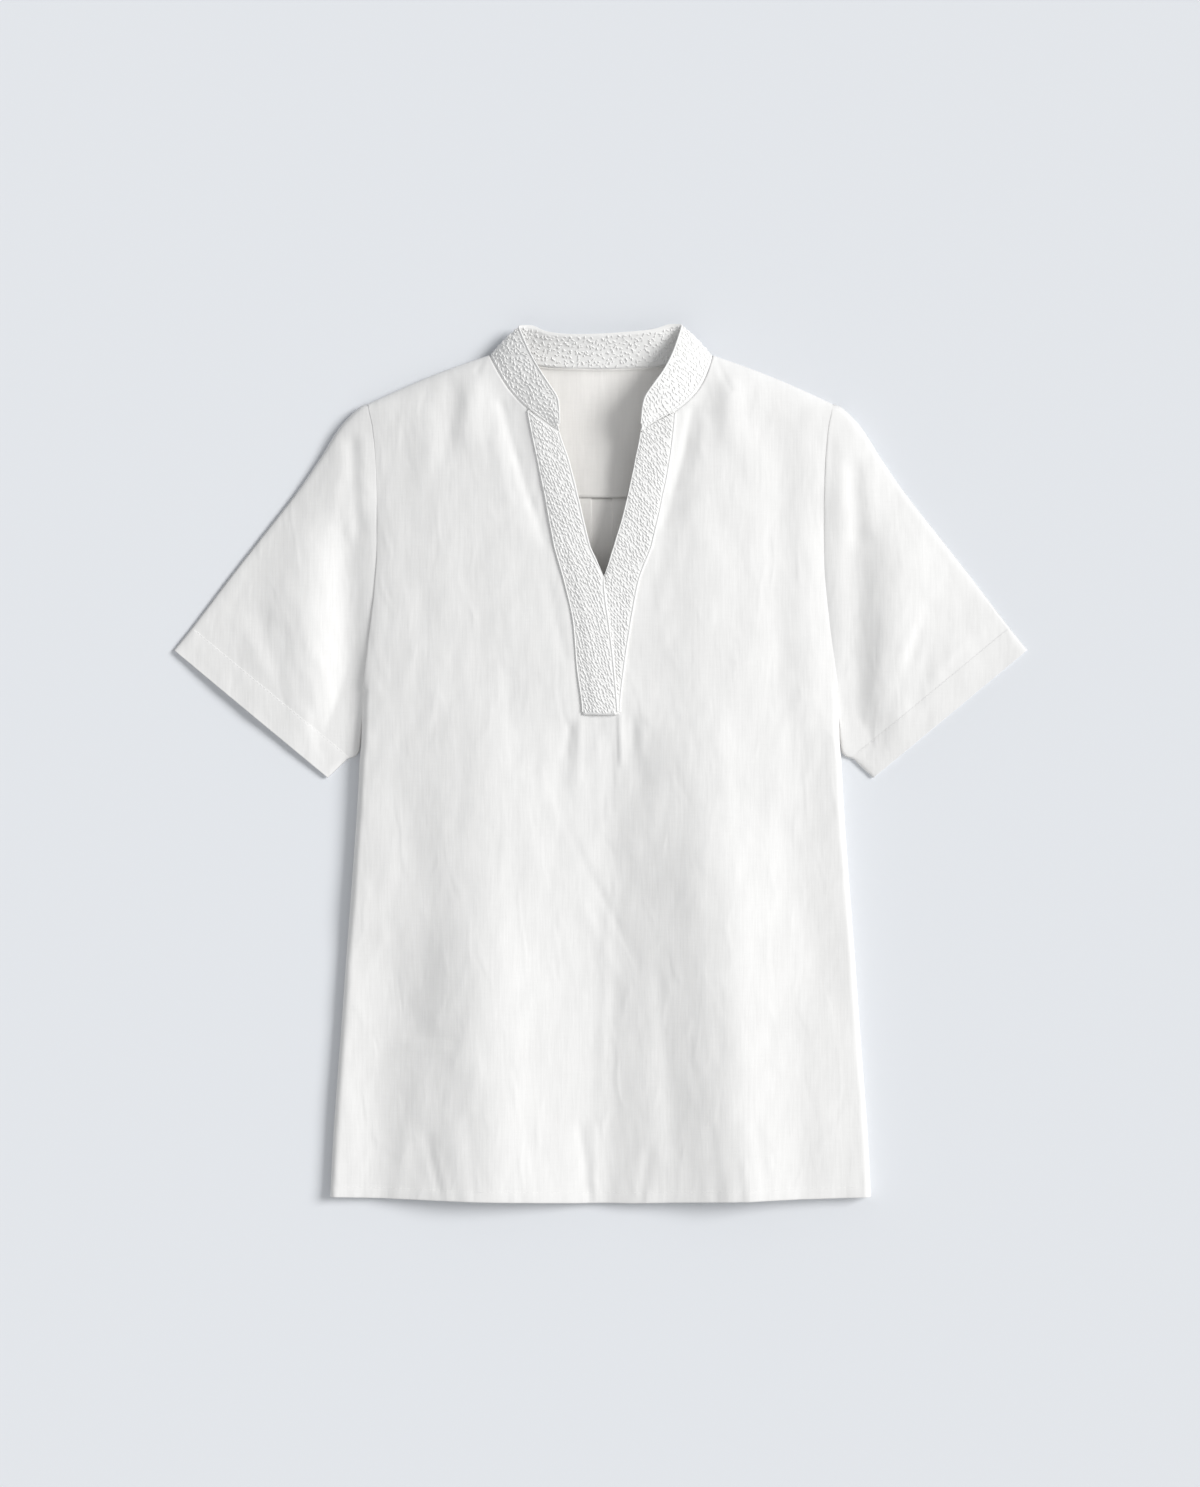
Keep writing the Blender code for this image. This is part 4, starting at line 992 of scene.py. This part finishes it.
def stitch_field(name, grid, up, material, pattern):
    """Small slanting stitches all over a grid, in staggered rows.

    They follow one direction in plan, as far as the cloth under them allows
    and but for a turn either way.
    """
    run = run_along(grid[:, grid.shape[1] // 2])
    widths = np.linalg.norm(grid[:, -1] - grid[:, 0], axis=1)
    last = grid.shape[1] - 1
    rows, across, seeds = [], [], []
    step, gap = pattern.step, pattern.row
    for count, at in enumerate(np.arange(step, run[-1] - step / 2, step)):
        row = float(np.interp(at, run, np.arange(len(run))))
        width = float(np.interp(at, run, widths)) - 2 * STITCH_INSET
        if width < gap:
            continue
        places = np.arange(pattern.shift * count % 1.0, width / gap, 1.0) * gap
        rows += [row] * len(places)
        across += ((places + STITCH_INSET) / (width + 2 * STITCH_INSET) * last).tolist()
        seeds += [(count, k) for k in range(len(places))]
    rows, across, seeds = np.array(rows), np.array(across), np.array(seeds)
    chance = [lattice(seeds[:, 0], seeds[:, 1], seed) - 0.5 for seed in range(1, 7)]
    rows = np.clip(rows + chance[0] * pattern.stray, 0, len(grid) - 1 - LEAST_SHARE)
    across = np.clip(across + chance[1] * pattern.stray, STITCH_MARGIN * last, (1 - STITCH_MARGIN) * last)
    i, j = rows.astype(int), across.astype(int)
    u, v = (rows - i)[:, None], (across - j)[:, None]
    centre = ((grid[i, j] * (1 - u) + grid[i + 1, j] * u) * (1 - v)
              + (grid[i, j + 1] * (1 - u) + grid[i + 1, j + 1] * u) * v)
    above = up[i, j]
    axis = unit(SLANT - above * (above @ SLANT)[:, None])
    turn = np.radians(pattern.turn * 2 * chance[2])[:, None]
    axis = axis * np.cos(turn) + np.cross(above, axis) * np.sin(turn)
    aside = np.cross(above, axis)
    points, faces = stitch_shape()
    length = pattern.length * (1 + LENGTH_SPREAD * chance[3])[:, None, None]
    width = pattern.width * (1 + WIDTH_SPREAD * chance[4])[:, None, None]
    height = STITCH_HEIGHT * (1 + HEIGHT_SPREAD * chance[5])[:, None, None]
    stitched = (centre[:, None] + axis[:, None] * points[None, :, 0:1] * length
                + aside[:, None] * points[None, :, 1:2] * width
                + above[:, None] * points[None, :, 2:3] * height)
    every = faces[None] + (np.arange(len(centre)) * len(points))[:, None, None]
    return ride(new_object(name, stitched.reshape(-1, 3), every.reshape(-1, 4), material), "embroidery")


def tube(name, line, radius, material, up):
    """Thin round cord along a line of points, of one radius or one for each point."""
    ahead = np.gradient(line, axis=0)
    aside = unit(np.cross(ahead, up))
    above = unit(np.cross(aside, ahead))
    turns = np.linspace(0, 2 * pi, CORD_SIDES, endpoint=False)[:, None]
    radius = np.broadcast_to(radius, len(line))[:, None, None]
    ring = line[:, None] + radius * (aside[:, None] * np.cos(turns) + above[:, None] * np.sin(turns))
    first = np.array([[3, 2, 1, 0], [4, 3, 0, 7], [5, 4, 7, 6]])
    faces = np.concatenate([grid_faces(*ring.shape[:2], True, ring=True), first,
                            first[:, ::-1] + CORD_SIDES * (len(line) - 1)])
    return ride(new_object(name, ring.reshape(-1, 3), faces, material), "embroidery")


def sewn_line(name, line, material):
    """Row of machine stitches along a line of points on the cloth."""
    run = run_along(line)
    starts = np.arange(SEWN_GAP, run[-1] - SEWN_LENGTH, SEWN_LENGTH + SEWN_GAP)
    at = (starts[:, None] + SEWING_PLACES[None] * SEWN_LENGTH).ravel()
    centre = np.stack([np.interp(at, run, line[:, k]) for k in range(3)], -1).reshape(-1, SEWN_RINGS, 3)
    centre[..., 2] += SEWING_ARCH[None] * SEWN_RADIUS
    ahead = unit(centre[:, -1:] - centre[:, :1])
    up = np.array([0.0, 0.0, 1.0])
    aside = np.cross(ahead, up)
    turns = np.linspace(0, 2 * pi, SEWN_SIDES, endpoint=False)[:, None]
    ring = centre[:, :, None] + SEWN_RADIUS * (aside[:, :, None] * np.cos(turns) + up * np.sin(turns))
    faces = grid_faces(SEWN_RINGS, SEWN_SIDES, True, ring=True)
    caps = np.array([[3, 2, 1, 0], [5, 4, 3, 0], [18, 19, 20, 21], [18, 21, 22, 23]])
    first = np.arange(len(starts)) * SEWN_RINGS * SEWN_SIDES
    every = np.concatenate([faces, caps])[None] + first[:, None, None]
    return ride(new_object(name, ring.reshape(-1, 3), every.reshape(-1, 4), material), "linen")


def fill(tree, made, sockets):
    """Give the sockets of a shader node their values, or the outputs they take."""
    for key, value in sockets.items():
        if isinstance(value, bpy.types.NodeSocket):
            tree.links.new(value, made.inputs[key])
        else:
            made.inputs[key].default_value = value
    return made


def node(tree, kind, sockets, **settings):
    """New shader node with its settings and its sockets."""
    made = tree.nodes.new(kind)
    for key, value in settings.items():
        setattr(made, key, value)
    return fill(tree, made, sockets)


def new_material(name, look):
    """Material with the looks of its surface, its node tree and its shader."""
    material = bpy.data.materials.new(name)
    material.use_nodes = True
    tree = material.node_tree
    return material, tree, fill(tree, tree.nodes["Principled BSDF"], look)


def grain_noise(tree, grain, noise):
    """Noise along the grain of the cloth."""
    place = node(tree, "ShaderNodeMapping", {
        "Vector": grain, "Scale": noise.scale, "Rotation": (0.0, 0.0, radians(noise.turn))})
    field = node(tree, "ShaderNodeTexNoise", {
        "Vector": place.outputs["Vector"], "Scale": 1.0, "Detail": noise.detail,
        "Distortion": noise.distortion}, noise_dimensions="2D", noise_type=noise.kind)
    return field.outputs["Fac"]


def mixed(tree, share, first, second):
    """Blend of two fields, with its share of the second."""
    return node(tree, "ShaderNodeMix", {0: share, 2: first, 3: second}, data_type="FLOAT").outputs[0]


def shaded(tree, field, colour, shades):
    """Colour that a field makes a little darker or lighter."""
    ramp = node(tree, "ShaderNodeMapRange", {"Value": field, **shades})
    tint = node(tree, "ShaderNodeMix", {0: 1.0, 6: colour, 7: ramp.outputs["Result"]},
                data_type="RGBA", blend_type="MULTIPLY")
    return tint.outputs[2]


def linen_material(name, colour, weave=1.0):
    """White linen: slubs along and across the grain, soft and matt."""
    material, tree, shader = new_material(name, LINEN_LOOK)
    grain = node(tree, "ShaderNodeUVMap", {}, uv_map="grain").outputs["UV"]
    warp, weft, broad, wrinkle = (grain_noise(tree, grain, noise) for noise in (WARP, WEFT, BROAD, WRINKLE))
    slubs = mixed(tree, BROAD_SHARE, mixed(tree, WEFT_SHARE, warp, weft), broad)
    bump = node(tree, "ShaderNodeBump", {
        "Height": slubs, "Strength": SLUB_RELIEF.strength * weave, "Distance": SLUB_RELIEF.distance})
    relief = node(tree, "ShaderNodeBump", {
        "Height": wrinkle, "Strength": WRINKLE_RELIEF.strength * weave,
        "Distance": WRINKLE_RELIEF.distance, "Normal": bump.outputs["Normal"]})
    fill(tree, shader, {"Base Color": shaded(tree, slubs, colour, LINEN_SHADES),
                        "Normal": relief.outputs["Normal"]})
    return material


def thread_material(name, colour):
    """Matt cotton thread."""
    material, tree, shader = new_material(name, THREAD_LOOK)
    place = node(tree, "ShaderNodeTexCoord", {}).outputs["Object"]
    twist = node(tree, "ShaderNodeTexNoise", {"Vector": place, "Scale": TWIST_SCALE}).outputs["Fac"]
    fill(tree, shader, {"Base Color": shaded(tree, twist, colour, THREAD_SHADES)})
    return material


def photo_place(x_pixel, y_pixel):
    """Place on the surface under a pixel of the photograph's frame."""
    return ((x_pixel - ORIGIN_PIXEL[0]) * METRES_PER_PIXEL, (ORIGIN_PIXEL[1] - y_pixel) * METRES_PER_PIXEL)


def band_object(name, node_name, grid, flip, material):
    """Band of cloth from the points of its outer face."""
    rows, across = grid.shape[:2]
    run, over = np.linspace(0.0, BAND_GRAIN[0], rows), np.linspace(0.0, BAND_GRAIN[1], across)
    grain = np.stack(np.meshgrid(run, over, indexing="ij"), -1).reshape(-1, 2)
    band = new_object(name, grid.reshape(-1, 3), grid_faces(rows, across, flip), material, grain)
    thicken(band, BAND_WALL)
    return ride(band, "embroidery", node_name)


def collar_piece(ground, thread):
    """Collar stand with its embroidery on both faces and a cord at each edge."""
    grid = stand_grid()
    outward = normals_of(grid)
    stand = band_object("stand", "collar", grid, False, ground)
    lay(stand, [
        stitch_field("collar_stitches", grid, outward, thread, PATTERNS["collar"]),
        stitch_field("collar_stitches_inside", grid - outward * BAND_WALL, -outward, thread,
                     PATTERNS["collar_inside"]),
        tube("stand_edge", grid[1:-1, -1], CORDS["stand_edge"], ground, outward[1:-1, -1]),
        tube("stand_seam", grid[1:-1, 1], CORDS["stand_seam"], ground, outward[1:-1, 1]),
    ])


def placket_piece(side, name, node_name, ground, thread):
    """Placket band with its embroidery and a cord at each edge."""
    grid = band_grid(side)
    up = upward(grid)
    band = band_object(name, node_name, grid, side > 0, ground)
    pieces = [stitch_field(name + "_stitches", grid, up, thread, PATTERNS[name])]
    for edge, place in ((name + "_outer_edge", 0), (name + "_inner_edge", -1)):
        cord = grid[1:-1, place]
        radius = np.full(len(cord), CORDS[edge])
        if place:
            radius *= 1.0 - CORD_THINNING * np.exp(-((cord[:, 1] - THINNEST_Y) / THINNING_REACH) ** 2)
        pieces.append(tube(edge, cord, radius, ground, up[1:-1, place]))
    lay(band, pieces)


def make_stage():
    """Pale surface, soft light from the upper right, and the camera straight above."""
    scene = bpy.context.scene
    mesh = bpy.data.meshes.new("surface")
    corners = [(x * FLOOR_HALF, y * FLOOR_HALF, FLOOR_Z) for x, y in ((-1, -1), (1, -1), (1, 1), (-1, 1))]
    mesh.from_pydata(corners, [], [(0, 1, 2, 3)])
    mesh.materials.append(new_material("surface", FLOOR_LOOK)[0])
    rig.stage(placed("surface", mesh))

    world = bpy.data.worlds.new("studio")
    world.use_nodes = True
    fill(world.node_tree, world.node_tree.nodes["Background"], SKY_LOOK)
    scene.world = world

    for lamp in LAMPS:
        light = bpy.data.lights.new(lamp.name, "SUN")
        light.energy = lamp.strength
        light.angle = radians(lamp.spread)
        light.color = LAMP_COLOUR
        item = placed(lamp.name, light)
        item.rotation_euler = Vector(lamp.direction).to_track_quat("Z", "Y").to_euler()

    camera = bpy.data.cameras.new("camera")
    camera.lens = LENS
    camera.sensor_width = SENSOR
    view = placed("camera", camera)
    view.location = (*photo_place(PHOTO_W / 2, PHOTO_H / 2), PHOTO_H * METRES_PER_PIXEL * LENS / SENSOR)
    scene.camera = view
    scene.view_settings.view_transform = "Standard"


def main():
    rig.load()
    cad_box = [list(map(float, corner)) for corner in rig.bounds()]
    make_stage()
    linen = linen_material("linen", LINEN)
    # The back and yoke are the front's linen; their warmer, lighter colour is painted warm shade and painted light
    # inside the neck
    painted_inside_shade = linen_material("linen_painted_inside_shade", PAINTED_INSIDE_SHADE)
    ground = linen_material("embroidery_ground", THREAD, 0.5)
    thread = thread_material("thread", THREAD)

    front_piece(linen, thread)
    back_piece(painted_inside_shade)
    yoke_piece(painted_inside_shade)
    sleeve_piece(-1, "sleeve_l", "sleeve_left", linen, thread)
    sleeve_piece(1, "sleeve_r", "sleeve_right", linen, thread)
    collar_piece(ground, thread)
    placket_piece(-1, "placket_l", "placket_left", ground, thread)
    placket_piece(1, "placket_r", "placket_right", ground, thread)

    visual_box = [list(map(float, corner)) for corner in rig.bounds()]
    with open("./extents.json", "w") as out:
        json.dump({"cad": cad_box, "visual": visual_box}, out)


main()
